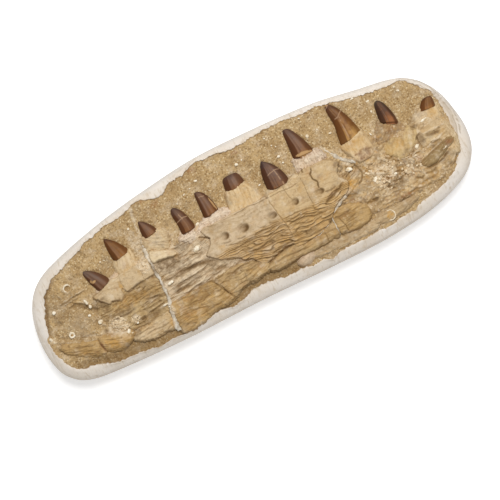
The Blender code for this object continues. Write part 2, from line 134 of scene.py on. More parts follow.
def scramble(column, row, seed):
    """A whole number that looks random, but is always the same for the same cell of a lattice."""
    mixed = (column * 374761393 + row * 668265263 + seed * 982451653) & 0x7FFFFFFF
    return ((mixed ^ (mixed >> 13)) * 1274126177) & 0x7FFFFFFF


def noise(x, y, seed):
    """Smooth noise of about -1 to 1 on a lattice of step 1."""
    column, row = np.floor(x).astype(np.int64), np.floor(y).astype(np.int64)
    part_x, part_y = x - column, y - row

    def lean(i, j):
        mixed = scramble(column + i, row + j, seed)
        angle = (mixed ^ (mixed >> 16)) * (2 * math.pi / 0x7FFFFFFF)
        return np.cos(angle) * (part_x - i) + np.sin(angle) * (part_y - j)

    ease_x = part_x**3 * (part_x * (part_x * 6 - 15) + 10)
    ease_y = part_y**3 * (part_y * (part_y * 6 - 15) + 10)
    low = lean(0, 0) * (1 - ease_x) + lean(1, 0) * ease_x
    high = lean(0, 1) * (1 - ease_x) + lean(1, 1) * ease_x
    return 1.5 * (low * (1 - ease_y) + high * ease_y)


def layers(x, y, size, count, seed):
    """Noise with detail: each layer is half the size and half the strength of the one before."""
    total = np.zeros_like(x)
    for level in range(count):
        total += noise(x / size * 2**level, y / size * 2**level, seed + 17 * level) / 2**level
    return total


def pebbles(x, y, size, seed):
    """Bumps packed side by side: 1 on top of a grain and 0 in the joints between them."""
    u, v = x / size, y / size
    column, row = np.floor(u).astype(np.int64), np.floor(v).astype(np.int64)
    nearest = np.full(u.shape, 9.0)
    for i in (-1, 0, 1):
        for j in (-1, 0, 1):
            mixed = scramble(column + i, row + j, seed)
            across = (mixed & 0xFFFF) / 0xFFFF
            along = ((mixed >> 15) & 0xFFFF) / 0xFFFF
            away = (column + i + across - u) ** 2 + (row + j + along - v) ** 2
            nearest = np.minimum(nearest, away)
    return np.clip(1 - nearest / 0.7, 0, 1)


def curve_between(a, b, c, d, steps):
    """Catmull-Rom curves from each b to each c, where a and d are the points before and after them."""
    rows = []
    for k in range(steps):
        t = k / steps
        bend = t * t * (2 * a - 5 * b + 4 * c - d)
        rows.append(0.5 * (2 * b + t * (c - a) + bend + t**3 * (3 * b - a - 3 * c + d)))
    return np.stack(rows, axis=1).reshape(-1, a.shape[1])


def loop_curve(points, steps):
    """A closed smooth curve through points, as an array."""
    p = np.array(points, float)
    return curve_between(*(np.roll(p, -k, axis=0) for k in (-1, 0, 1, 2)), steps)


def line_curve(points, steps):
    """An open smooth curve through rows of numbers, as an array."""
    p = np.array(points, float)
    p = np.vstack([2 * p[0] - p[1], p, 2 * p[-1] - p[-2]])
    return np.vstack([curve_between(p[:-3], p[1:-2], p[2:-1], p[3:], steps), p[-2]])


def edge_of(loop, x, y):
    """The distance of each point to a closed loop, positive inside, and the nearest point on it."""
    best = np.full(x.shape, np.inf)
    near_x, near_y = np.zeros_like(x), np.zeros_like(y)
    within = np.zeros(x.shape, bool)
    for (ax, ay), (bx, by) in zip(loop, np.roll(loop, -1, axis=0)):
        side_x, side_y = bx - ax, by - ay
        t = np.clip(((x - ax) * side_x + (y - ay) * side_y) / (side_x**2 + side_y**2 + 1e-12), 0, 1)
        on_x, on_y = ax + t * side_x, ay + t * side_y
        away = (x - on_x) ** 2 + (y - on_y) ** 2
        closer = away < best
        best = np.where(closer, away, best)
        near_x, near_y = np.where(closer, on_x, near_x), np.where(closer, on_y, near_y)
        if side_y:
            within ^= ((ay > y) != (by > y)) & (x < ax + (y - ay) / side_y * side_x)
    return np.where(within, 1, -1) * np.sqrt(best), near_x, near_y


def line_distance(points, x, y):
    """The distance of each point to an open line, and how far along it the nearest point is, 0 to 1."""
    line = np.array(points, float)
    steps = np.hypot(*(line[1:, :2] - line[:-1, :2]).T)
    reached = np.concatenate([[0], np.cumsum(steps)]) / steps.sum()
    best, place = np.full(x.shape, np.inf), np.zeros_like(x)
    for i, length in enumerate(steps):
        (ax, ay), (bx, by) = line[i, :2], line[i + 1, :2]
        t = np.clip(((x - ax) * (bx - ax) + (y - ay) * (by - ay)) / length**2, 0, 1)
        away = np.hypot(x - ax - t * (bx - ax), y - ay - t * (by - ay))
        closer = away < best
        best = np.where(closer, away, best)
        place = np.where(closer, reached[i] + t * (reached[i + 1] - reached[i]), place)
    return best, place


def oval(x, y, spot_x, spot_y, half_long, half_wide, turn=0.0):
    """0 at the middle of a turned oval, 1 on its edge and more outside."""
    c, s = math.cos(math.radians(turn)), math.sin(math.radians(turn))
    u, v = (x - spot_x) * c + (y - spot_y) * s, -(x - spot_x) * s + (y - spot_y) * c
    return np.hypot(u / half_long, v / half_wide)


def near_box(points, margin, x, y):
    """The places that lie in the box of some points, widened by a margin."""
    low, high = np.min(points, axis=0) - margin, np.max(points, axis=0) + margin
    return (x > low[0]) & (x < high[0]) & (y > low[1]) & (y < high[1])


def pairs(*numbers):
    """Points from their X and Y in turn."""
    return list(zip(numbers[::2], numbers[1::2]))


def lines(*rows):
    """Lines from rows of numbers: half a width, a strength, and then X and Y of each point in turn."""
    return [(pairs(*points), width, strength) for width, strength, *points in rows]


# Outlines, in millimetres, seen from above

JACKET_EDGE = pairs(
    303, -22, 300, 8, 292, 36, 274, 62, 246, 77.5, 200, 86, 140, 96, 60, 101, -20, 102, -90, 95, -160, 84,
    -230, 67, -268, 51, -289, 26, -299, -8, -299, -44, -289, -73, -262, -91, -205, -97, -120, -100,
    -20, -99.5, 70, -102, 150, -102, 220, -94, 272, -76, 296, -51,
)

ROCK_EDGE = pairs(
    -290, -28, -288, -40, -285, -50, -279, -62, -272, -69, -263, -74, -249, -75, -241, -77.5, -230, -83,
    -222, -85.5, -204, -85.5, -190, -87, -177, -89.5, -164, -92, -148, -90, -134, -91.5, -122, -92,
    -104, -89.5, -95, -87, -80, -85.5, -66, -88, -55, -87.5, -45, -85.5, -35, -82, -25, -80.5, -5, -81,
    12, -84.7, 27, -85.3, 42, -86, 50, -88.7, 58, -87.3, 70, -88.7, 75, -93.5, 81, -90, 96, -86.7,
    122, -87.5, 145, -86.7, 158, -88, 178, -84.7, 190, -83.5, 196, -85, 202, -80, 225, -76, 245, -70,
    261, -62.7, 268, -54.7, 276, -45, 281, -35, 284, -20, 284, 0, 282.5, 26, 278.5, 41, 273, 48, 267, 55,
    259, 63, 254, 68.5, 243, 70, 224, 71.3, 204, 74, 185, 78, 169, 81.3, 158, 85, 145, 87.5, 136, 88.3,
    119, 87.3, 106, 90.5, 88, 91.7, 67, 91.3, 45, 89.6, 28, 88.7, 19, 88.7, 8, 92, -5, 92.5, -14, 93.3,
    -20, 95.3, -31, 92.7, -39, 90.7, -46, 87.3, -56, 87.3, -67, 86, -75, 80, -80, 77.3, -91, 77.3,
    -99, 80, -106, 84, -115, 84, -122, 82, -131, 78, -142, 76.3, -155, 75.3, -165, 74, -178, 70.5,
    -192, 67.3, -206, 61.3, -220, 56.7, -229, 53.3, -236, 50, -249, 46.7, -253, 44, -258, 38.7,
    -265, 34.7, -269, 29.3, -273, 21.3, -278, 9.3, -281, 2.7, -286, -16, -289, -20,
)

# A relief piece: the CAD node that it stands for, its kind of bone, its finish, the height and bulge
# of its top, the way its fibres run, the rise of its layers, their spacing, the rise of its fibres,
# lumps and crumbs, the radius of its edge, how far its edge is bitten, its outline, and how much it
# rises for each millimetre along X
Relief = namedtuple(
    "Relief",
    "name node slot finish top bulge grain rise pitch fibre lump crumb round bite outline lean",
    defaults=[0.0],
)

RELIEFS = [
    Relief("jaw_rear_plate", "jaw_rear", "tan", "smooth", 50.3, 1.2, 3, 0.15, 6, 0.1, 0.6, 0.1, 1.2, 0.7,
        pairs(-212, 1, -204, 2.7, -194, 6.7, -184, 11, -177, 10, -170, 12, -160, 12.6, -150, 13.5, -141, 12,
        -132.5, 14, -133, 0, -133, -6, -141, -7, -150, -8, -160, -9.5, -169, -11.5, -173, -9, -175.5, -4,
        -178, -8, -180, -15, -184, -17.5, -189, -15.6, -194, -13.5, -198, -14.7, -203, -10, -209, -3)),
    Relief("jaw_rear_fibres", "jaw_rear", "tan", "fibrous", 46.4, 1.2, 2, 1.25, 5.2, 0.35, 1.8, 0.45, 6, 3,
        pairs(-212, -1, -190, -4, -165, -2, -132, 0, -130, -20, -129.5, -38, -133, -50, -135, -58, -150, -60,
        -170, -62, -187, -58, -198, -52, -210, -44, -217, -31, -214, -14), 0.035),
    Relief("rear_splinter_outer", "rear_splinter_outer", "ochre", "ochre", 47.4, 2.2, -22, 0.75, 2.6, 0.25,
        0.7, 0.2, 2.6, 1.4,
        pairs(-278, -38, -273, -35, -262, -40, -248, -44.5, -234, -47.5, -232.5, -57, -232, -67, -241, -65.5,
        -254, -61, -265, -53, -273, -46)),
    Relief("rear_splinter_inner", "rear_splinter_inner", "ochre", "ochre", 48.2, 3.2, -18, 0.6, 2.8, 0.22,
        0.6, 0.15, 3, 1.2,
        pairs(-228.5, -47, -214, -53, -203, -54, -191, -56.5, -191.5, -64, -198, -68.5, -209, -72,
        -222, -68.5, -228.5, -65.5, -230, -56)),
    Relief("rear_lower_plate", "rear_lower_plate", "ochre", "ochre_light", 47.8, 2.2, 6, 0.65, 4.2, 0.22, 0.8,
        0.3, 2.2, 1.6,
        pairs(-190, -66.5, -181, -64, -164, -60, -150, -57.5, -138.5, -55, -138.5, -70, -138.5, -78.5,
        -154, -77, -165, -78.5, -172, -77.3, -185, -72.5)),
    Relief("jaw_rear_middle_slats", "jaw_rear_middle", "tan", "layered", 47.3, 0.4, 9, 1.7, 7.5, 0.4, 1.9,
        0.55, 1.8, 1.8,
        pairs(-128.5, 10, -118, 16, -104, 16, -90, 13, -78, 14, -66, 14, -53, 13, -46, 2, -50, -6, -57, -17,
        -50, -25, -40, -30.5, -25, -36, -17, -38, -9, -44.5, -17, -50, -40, -49, -55, -50, -72, -52.5,
        -95, -53.5, -115, -55.5, -129.5, -53.5, -127, -38, -127.5, -20, -128.5, -5)),
    Relief("jaw_rear_middle_plate", "jaw_rear_middle", "tan", "cream", 51.4, 0.6, -22, 0.1, 5, 0.1, 0.6, 0.1,
        1, 0.8,
        pairs(-124.5, 19.3, -117, 16.6, -109.5, 13.4, -103, 10.5, -98.3, 7.8, -95.4, 3.3, -99, 2.2, -105, 2.6,
        -111.8, 3.6, -119, 4.6, -126, 5, -127.5, 12), -0.05),
    Relief("lower_plate_rear", "lower_plate_rear", "ochre", "ochre", 49.9, 3, 4, 0.85, 5, 0.28, 1.2, 0.3, 2,
        1.6,
        pairs(-131.5, -50.5, -115, -50.5, -95, -48.5, -73.5, -47.5, -65, -58.7, -62.3, -66.7, -56.5, -77.5,
        -64, -80.7, -80, -82, -90, -83.5, -95, -85.3, -103, -88, -112, -89, -122, -90.3, -130, -88.5,
        -132.5, -84, -131, -66)),
    Relief("lower_plate_middle", "lower_plate_middle", "tan", "ochre_pale", 50.2, 2.8, 7, 0.95, 5.6, 0.3, 1.2,
        0.25, 2, 1.6,
        pairs(-72, -48.5, -55, -46, -40, -44.5, -22, -46.5, -8, -53, 0, -59, 2, -65, -4, -68, -10, -68.5,
        -17, -70, -22, -71.3, -30, -69.3, -38, -71, -46, -73.3, -54.5, -78, -60.5, -66.5, -63.5, -58.5)),
    Relief("jaw_middle", "jaw_middle", "pale", "pale", 53.2, 1.2, -3, 0.1, 6, 0.07, 0.6, 0.04, 1.1, 1.2,
        pairs(-50, 1, -54, 8, -56, 14, -45, 15.5, -25, 15, -8, 16, 10, 16, 25, 15, 35.5, 15, 37, 4,
        38.5, -6.7, 40.5, -17, 43, -28, 43.2, -41, 42.7, -51, 30, -51, 20, -52.5, 8, -56, 0, -58.7,
        -5.7, -56, -9.7, -50.7, -13.7, -45.3, -23, -41.3, -27, -37.3, -37.7, -33.3, -48.3, -29.3,
        -56.3, -22.7, -62.3, -17.3, -61.5, -15, -56.3, -10.7, -52, -4)),
    Relief("jaw_front_middle", "jaw_front_middle", "pale", "pale_yellow", 52.8, 1.2, -2, 0.1, 6, 0.07, 0.6,
        0.04, 1.1, 1.1,
        pairs(37, 15, 50, 16.5, 60, 17, 72, 20, 82, 19.5, 90, 24, 104, 24, 118, 23.5, 128, 18, 134, 14,
        131, 6, 127, 0, 130, -8, 135, -14, 131, -22, 124.3, -26.7, 111, -32, 101.7, -40, 93.7, -48,
        77.7, -54.7, 61.7, -57, 43, -58, 41, -48, 41, -41, 40.5, -28, 38, -17, 36, -6.7, 34.5, 4)),
    Relief("jaw_front_step", "jaw_front", "tan", "crumbly", 48.2, 0.6, 24, 0.9, 7, 0.2, 1.6, 0.8, 2.6, 2,
        pairs(126, 16, 136, 17, 146, 8, 151, 4, 156, -8, 158, -17, 148, -21, 138, -26, 128, -30, 112, -34,
        108, -28, 122, -20, 124, -4)),
    Relief("lower_bar_rear", "lower_bar_rear", "ochre", "ochre_pale", 50, 3.2, 5, 0.7, 6.5, 0.16, 0.9, 0.15,
        2.8, 1,
        pairs(-1, -66, 8, -60.5, 22, -56, 39, -54.5, 43.5, -53, 45, -59, 61.7, -59, 77.7, -56.5, 93, -50.5,
        96, -48.5, 96.5, -60, 95.5, -69.5, 80, -70, 60, -70.5, 40, -70, 20, -72, 6, -71.5)),
    Relief("lower_bar_front", "lower_bar_front", "ochre", "ochre", 50.6, 3.6, -4, 0.95, 9, 0.14, 0.8, 0.1, 3,
        0.9,
        pairs(98.5, -47.5, 103, -41.5, 111, -38, 122, -38.5, 131, -43, 139.5, -48, 143, -56, 141, -64,
        133, -70, 118, -71.5, 106, -70, 99.5, -68)),
    Relief("jaw_front", "jaw_front", "tan", "crumbly", 47.2, 1.4, 14, 0.22, 12, 0.08, 2.6, 1.3, 4, 2.6,
        pairs(151, 7, 158, 12, 170, 13.5, 182, 13, 190, 9, 200, 10, 214, 11, 228, 12, 240, 12, 250, 15.5,
        262, 13, 273, 6, 278, -3, 280.5, -16, 279, -30, 273, -43, 262, -52, 250, -59, 240, -62.5,
        225, -64.5, 205, -65, 180, -65, 160, -65.5, 146, -66, 140, -56, 134, -43, 122, -38.5, 120, -30,
        134, -25, 146, -20, 152, -8)),
    Relief("front_tip_ledges", "jaw_front", "tan", "ochre_light", 48.4, 1, 8, 0.22, 9, 0.1, 1.8, 0.6, 2.6, 2,
        pairs(244, 12, 256, 14.5, 266, 12, 272, 5, 275, -5, 276, -16, 273, -24, 262, -20, 252, -18, 241, -21,
        238, -8, 240, 3)),
    Relief("front_tip_arch", "jaw_front", "tan", "crust", 47.8, 2, 100, 0.45, 3.4, 0.15, 1.2, 0.45, 3.4, 1.8,
        pairs(262, 12, 270, 10, 277, 3, 281, -8, 282.5, -20, 281, -32, 275, -43, 270, -40, 275, -28,
        275.5, -14, 272, -2, 266, 5)),
    Relief("front_plate", "front_plate", "pale", "yellow", 49.3, 2, 62, 0.45, 12, 0.1, 2, 0.25, 3, 2,
        pairs(193, -3, 195.2, 3, 200.6, 6.4, 206, 8, 211.6, 8.6, 217.8, 6.2, 223, 7.4, 227.4, 9.4, 232.4, 13,
        237, 9, 242.8, 5, 242.4, 0.4, 235, -6.4, 229, -12, 222.5, -17.4, 213, -20.8, 205.5, -19.4,
        202, -13.6, 195.5, -8.4)),
    Relief("front_splinter", "front_splinter", "pale", "olive", 49.6, 2.2, 20, 0.6, 6, 0.14, 0.8, 0.2, 2.8,
        1.2,
        pairs(227.5, -34.6, 236, -30.6, 246, -27, 256, -24, 266, -21, 274, -22, 278, -25.5, 272, -31,
        262, -36, 251, -40.6, 240, -42.6, 231.5, -41.2)),
    Relief("lower_front_bar", "lower_front_bar", "ochre", "tan_low", 46.4, 2.4, 3, 0.55, 6, 0.15, 1.1, 0.65,
        4, 1.6,
        pairs(140, -75, 148, -68.6, 160, -67, 175, -66.8, 190, -67, 203, -67.5, 204.5, -71, 196, -75,
        184, -78.5, 171, -82, 158, -82.5, 149, -81)),
    Relief("lower_strip", None, "tan", "tan_low", 45.5, 1.8, 2, 0.5, 5, 0.15, 1.5, 1.05, 2.8, 1.8,
        pairs(56, -72, 80, -71.8, 100, -71.5, 118, -73, 132, -73, 143, -70, 147, -76, 144, -83, 128, -84.5,
        104, -84, 80, -83, 62, -81.5)),
    Relief("pink_nodule", None, "pale", "pinkish", 46, 3.2, 10, 0, 5, 0.1, 0.8, 0.25, 3, 0.8,
        pairs(36, -77, 40, -72, 48, -70.5, 55, -73, 57, -78, 52, -82, 44, -83, 38, -81)),
    Relief("root_1_crust", "jaw_rear", "pale", "pinkish", 46.6, 1.2, 20, 0, 5, 0.1, 0.8, 0.45, 1.2, 1.1,
        pairs(-206, 5, -198, 5.5, -190, 9.5, -183, 13, -176, 15, -175, 9, -184, 7.5, -196, 2, -207, 0)),
    Relief("root_2", "jaw_rear", "pale", "root", 47, 3.6, 88, 0.25, 6, 0.15, 0.7, 0.2, 1.6, 0.6,
        pairs(-171, 27.5, -167, 31, -159, 33.5, -151, 34, -146, 32.5, -145, 25, -147, 11, -158, 9, -170, 9,
        -172, 18)),
    Relief("root_3", "jaw_rear_middle", "tan", "crust", 47, 1.8, -24, 0.6, 5, 0.2, 1.6, 0.95, 2.8, 1.8,
        pairs(-125.5, 37, -115, 38, -103, 41.5, -98, 34, -97.5, 25, -102, 14, -112, 12, -124, 18, -127, 27)),
    Relief("root_4_crust", "jaw_rear_middle", "pale", "white_crust", 47.6, 1.2, 5, 0.5, 4, 0.1, 1.3, 0.95,
        2.6, 2.6,
        pairs(-81, 21, -76, 20, -69.5, 18.5, -62, 21, -58.5, 23, -54, 19, -55, 13, -60, 10, -63, 6, -68, 9,
        -73, 5.5, -77, 10, -84, 14)),
    Relief("root_5_crust", "jaw_middle", "pale", "white_crust", 48.8, 1.8, 5, 0.5, 4, 0.1, 1.2, 0.85, 2.4, 2,
        pairs(-56, 20, -47, 25, -42, 25.5, -38, 24.5, -30, 27, -23, 27.5, -16, 24, -12, 18, -14, 13, -30, 12,
        -48, 12, -57, 13)),
    Relief("root_6", "jaw_middle", "pale", "root", 48.6, 4, 88, 0.25, 7, 0.12, 0.9, 0.25, 1.8, 0.7,
        pairs(-7, 40.5, 0, 43, 8, 43.4, 15, 43.2, 21.5, 41, 25, 33, 31.5, 17, 24, 12, 5, 12, -14, 12,
        -12.5, 20, -9.5, 32)),
    Relief("root_7_crust", "jaw_front_middle", "pale", "crust", 49.6, 1.2, 3, 0.2, 5, 0.1, 0.6, 0.3, 1, 0.8,
        pairs(39, 20.5, 46, 19.5, 56, 17.8, 66, 19.5, 73, 22, 79, 24, 84, 21, 82, 15, 60, 12, 38, 11)),
    Relief("root_8_crust", "jaw_front_middle", "pale", "white_crust", 47.8, 2.4, 85, 0.7, 3.2, 0.1, 1, 0.7, 3,
        1.6,
        pairs(85, 35, 88, 40.5, 93, 38.5, 103, 37, 112, 38, 118, 40, 123, 34, 124, 26, 112, 21, 98, 21,
        86, 24)),
    Relief("root_9", "jaw_front", "pale", "root", 47.8, 3.8, 88, 0.25, 7, 0.12, 0.9, 0.25, 1.8, 0.7,
        pairs(148.5, 28.5, 156, 31.5, 163, 33, 172, 34.5, 180, 32.5, 182.5, 22, 183.5, 8, 176, 2, 162, 1,
        157, 6, 154, 14, 150, 22)),
    Relief("root_10_crust", "jaw_front", "tan", "red_crust", 45.9, 0.8, 20, 0.2, 5, 0.05, 2, 1.15, 6, 3,
        pairs(199, 37, 204, 37, 209, 33.5, 214, 30, 219, 26, 226, 24, 229, 20, 231, 11, 222, 7, 205, 6,
        193, 8, 190, 18, 194, 29)),
    Relief("root_11", "jaw_front", "pale", "root", 46.6, 2.4, 85, 0.25, 5, 0.12, 0.7, 0.3, 1.5, 0.6,
        pairs(257, 21.5, 262, 24, 270, 24, 277, 20, 277, 14, 275.5, 7, 266, 5, 258, 10)),
    Relief("root_11_crust", "jaw_front", "pale", "crust", 45.6, 1.6, 30, 0.4, 5, 0.1, 1.2, 0.8, 2.4, 2,
        pairs(246, 21, 252, 25, 258, 26, 262, 22, 266, 14, 262, 7, 252, 8, 243, 13)),
]

# The pieces that the traced ridges, hollows and pebbly places belong to
RIDGED = (
    "jaw_rear_fibres", "jaw_rear_middle_slats", "jaw_front", "front_tip_ledges", "front_splinter",
    "jaw_rear_plate",
)

# A filler vein: a line of places, each with its height and width, in grey-white repair paste
VEINS = {
    "filler_vein_rear": [
        (-129.2, 34, 45.4, 3), (-129.7, 25, 47.8, 4.4), (-130.2, 12, 50, 4.2), (-130, -1, 49.8, 3.4),
        (-129.4, -14, 48.8, 3.2), (-129, -28, 48.6, 3.4), (-130, -40, 49, 3.8), (-132.2, -53, 49.8, 5.4),
        (-133.8, -66, 50.4, 6.6), (-135.2, -76, 49.9, 7.2), (-136, -85, 48, 6.4),
    ],
    "filler_vein_front": [
        (126.5, 38, 44.3, 2), (130.5, 31, 44.8, 2.8), (134, 25, 45.8, 3.4), (141.5, 14.5, 48, 4),
        (150, 7, 50, 4.2), (155, 3, 50, 3.4),
    ],
    "filler_vein_low": [
        (99, -20, 52.2, 1.2), (96.5, -30, 52.2, 1.8), (98.8, -40, 51.6, 2), (97.4, -50, 52, 2.2),
        (97.2, -60, 52, 2.2), (97, -69, 49.4, 2),
    ],
    "filler_vein_diagonal": [
        (60, -58.6, 51, 1.6), (77.7, -56, 51.3, 2), (92, -49.6, 51.1, 2.6), (101, -41.5, 50.5, 3.4),
        (112, -34, 49.9, 4.4), (124, -28.5, 49.3, 3.8), (134, -25.6, 48.9, 2.6),
    ],
}

# Smears of filler that only colour the rock: half a width, a strength and the points of each line
SMEARS = lines(
    (1.9, 0.75, -122.3, 79, -123.7, 73, -125.2, 63, -127, 50, -129, 36),
    (3.4, 0.45, -136, 46, -139, 32, -138, 20), (3, 0.22, -150, 62, -141, 52, -136, 40),
    (1.8, 0.6, 124, 42, 129, 33, 134, 25), (3, 0.18, -106, 72, -102, 56, -100, 42),
)

# A tooth crown: its number, the bone it grows from, the share of its length over which its end closes,
# the place of its ridge from right (0) to left (1), its enamel's finish, and its left and its right
# edge from the base to the tip
Tooth = namedtuple("Tooth", "number bone closing ridge finish left right")

TEETH = [
    Tooth(1, "jaw_rear", 0.05, 0.7, "grey_tip",
          pairs(-204.5, 4, -208.5, 15, -211.3, 24, -213, 32, -212, 36),
          pairs(-184.4, 11.5, -188.4, 18.5, -193.6, 25.2, -200.5, 31.6, -210, 36.6)),
    Tooth(2, "jaw_rear", 0.04, 0.62, "amber_sides",
          pairs(-170.3, 28.5, -171.2, 37, -171.7, 46, -171.2, 55, -169.8, 60.6),
          pairs(-146.2, 33, -148.6, 38, -153.2, 45.5, -159.5, 53.5, -168.4, 60.8)),
    Tooth(3, "jaw_rear_middle", 0.05, 0.55, "brown",
          pairs(-124.6, 36.8, -124.4, 43, -123.9, 49.5, -122.9, 56, -121.6, 60.5),
          pairs(-103.2, 40, -105.6, 45.5, -109.5, 51.2, -114.5, 56.8, -120, 60.7)),
    Tooth(4, "jaw_rear_middle", 0.07, 0.45, "brown",
          pairs(-79.8, 20.5, -78.8, 31, -79.4, 40, -80.2, 49, -78, 56),
          pairs(-59.2, 22.5, -60.6, 31, -63.2, 40.5, -66.8, 49, -73, 56.2)),
    Tooth(5, "jaw_middle", 0.05, 0.66, "brown",
          pairs(-45.2, 26, -44.7, 37, -44, 47, -43.6, 56, -42.2, 60.7),
          pairs(-24, 29, -25.6, 40, -28.4, 49, -32.6, 56.4, -38.4, 60.8)),
    Tooth(6, "jaw_middle", 0.1, 0.4, "brown",
          pairs(-6.8, 41.4, -6, 46, -5.2, 51, -4, 57, -1, 61.2),
          pairs(21.4, 42.2, 20.8, 46.5, 20, 51.2, 18.2, 57.2, 14.6, 61.2)),
    Tooth(7, "jaw_front_middle", 0.03, 0.55, "dark_tip",
          pairs(41.2, 19.4, 41.8, 30, 43.2, 41, 46.4, 52, 50, 58),
          pairs(71.9, 19.4, 71, 28, 67.6, 38.5, 61.2, 49, 51.4, 58)),
    Tooth(8, "jaw_front_middle", 0.06, 0.6, "brown",
          pairs(87.6, 41.6, 88.8, 53, 89.6, 64, 90.2, 74.5, 91.6, 80.4),
          pairs(116, 40.4, 113, 51.5, 108.6, 63, 103, 74, 97.6, 80.6)),
    Tooth(9, "jaw_front", 0.05, 0.58, "amber_base",
          pairs(148.4, 30, 150.6, 44, 152.7, 59, 151.2, 75, 153, 84.4),
          pairs(180, 33.8, 176.6, 48, 171.8, 62.5, 164.4, 76.5, 156.6, 84.6)),
    Tooth(10, "jaw_front", 0.09, 0.55, "black_tip",
          pairs(205.4, 33.2, 205.9, 40, 206.8, 47, 208.2, 55, 210.6, 60),
          pairs(226.4, 24.2, 226, 34, 223.8, 44, 220.2, 54, 215.2, 60.4)),
    Tooth(11, "jaw_front", 0.1, 0.5, "amber_sides",
          pairs(254.8, 22.8, 257.4, 26.4, 260.4, 30.4, 264.2, 34.2, 267.6, 36),
          pairs(277.2, 20.8, 277.6, 25, 277.9, 29.5, 277.6, 33.4, 275.2, 36)),
]

# Pale cracks of the enamel, as the tooth's number and the points of a line, and its chipped places, as
# the tooth's number and an oval
CROWN_CRACKS = [
    (4, -79, 36.4, -74, 38, -69, 39.6, -63.6, 39), (4, -72, 45, -70.6, 42, -69.6, 38),
    (7, 49.5, 37.8, 55, 39.6, 62, 40.4, 68, 39), (7, 59, 41.5, 60.5, 33, 62, 26, 63.2, 19),
    (9, 152, 79.6, 155, 81.6, 159, 84), (9, 156.6, 62.6, 160, 63.2, 165, 67.4, 169, 69.8),
    (9, 162, 63, 161.4, 52, 161, 34), (5, -39.5, 53, -33, 52),
]
CROWN_CHIPS = [
    (1, -207, 20, 1.6, 2.2), (1, -203.8, 18.4, 3.2, 1.5, 15), (5, -27.4, 38, 1.1, 9.5, 12),
    (8, 103, 41.6, 10.5, 3.4, -8), (9, 155, 84.2, 3.4, 1.8, 30), (3, -104.5, 45.5, 1, 2.6, 20),
]

# Nutrient openings in the bone, each an oval bowl: its middle, half sizes, the direction of its steep
# side and its depth
# Each is darkened towards its steep side as painted shade
FORAMINA = [
    (-33.4, -4.8, 8.2, 6.6, -26, 4.6), (-7.6, -6, 9.2, 7.6, -40, 5.4), (32, -8.6, 8, 5.6, -40, 3.9),
    (65.4, -5.8, 5.8, 6.2, -55, 4.8), (97.6, -9.2, 8, 5, -12, 4.2), (12.6, -39.6, 8, 4.4, 24, 3.2),
]

# Ovals: places where fine dust fills the fibres, where the creases of the wood-like bone take little
# painted shade, where bone is broken small, and where it is a pebbly, pale-dusted mass. An oval is its
# middle, its half sizes and, where it is turned, its turn in degrees
DUSTED = [
    (-108, -7, 19, 8), (-150, -47, 18, 5, 4), (-206, -42, 10, 8, -20), (-64, -21, 13, 4, -16),
    (-186, -8, 16, 5),
]
WORN = [(82, -38, 7, 4)]
BROKEN = [(199, -27, 32, 17, -8), (184, -34, 18, 16), (172, -18, 12, 12), (222, -34, 9, 12)]
PEBBLY = [(-202, -47, 14, 16), (-178, -47, 8, 6), (-140, 8, 7, 12)]
PLATE_DUST = [(-140, 9, 6, 11)]
# The round mass in the rock behind the jaw, and the recess beside it: ovals
DISC = (-243, -21, 23, 19, 15)
RECESS = (-207, -14, 8, 13, 15)

# Cracks: half a width, a depth and the points of each line
CRACKS = lines(
    (0.8, 2.4, 101.5, 23, 100.6, 19, 97.4, 15.5, 97.2, 9, 99, 6.2, 101.6, 3.2, 100.2, -1, 99.4, -6),
    (0.5, 0.8, 36, 14, 37.2, 4, 38.8, -6.7, 40.6, -17, 42.8, -28, 43.2, -42, 42.8, -52),
    (0.9, 1.6, 90.5, 26, 89.6, 23.4, 90.4, 21), (0.5, 0.8, -47, 15.2, -38, 13.6),
    (0.35, 0.8, 59.5, 17, 60.2, 8, 61.5, 1, 64, -4), (0.35, 0.8, 84, 20, 84.6, 6, 83.4, -8, 84.3, -22),
    (0.4, 0.9, 37, 12.8, 52, 13.2, 66, 11.6, 80, 13), (0.45, 1, -14, 13.2, 0, 13.8, 10, 15, 22, 13, 36, 13.2),
    (0.3, 0.7, -48, 13.6, -36, 12.9, -22, 13.8, -12, 13.4),
    (0.9, 2.4, -63, 8.7, -58, 6.2, -54, 4, -49.5, 0.9),
    (0.3, 0.8, -173, 10.8, -174, 2, -172.6, -8, -176, -17), (0.3, 0.7, -146, 13, -145, 4, -146.5, -8),
    (0.6, 1.6, 104, -48, 106, -55, 108.5, -62, 109, -70), (0.45, 1.2, 80, -56, 81.5, -62, 80.6, -70),
    (0.8, 2, -72, -47, -66, -58.5, -61.8, -66.6, -55.7, -78), (0.35, 0.8, -32, -46, -30.5, -58, -33.5, -70),
    (0.4, 0.9, -100, -50, -84, -56, -66, -59.5), (0.7, 1.8, 150, 0, 142, -5, 136, -8),
)
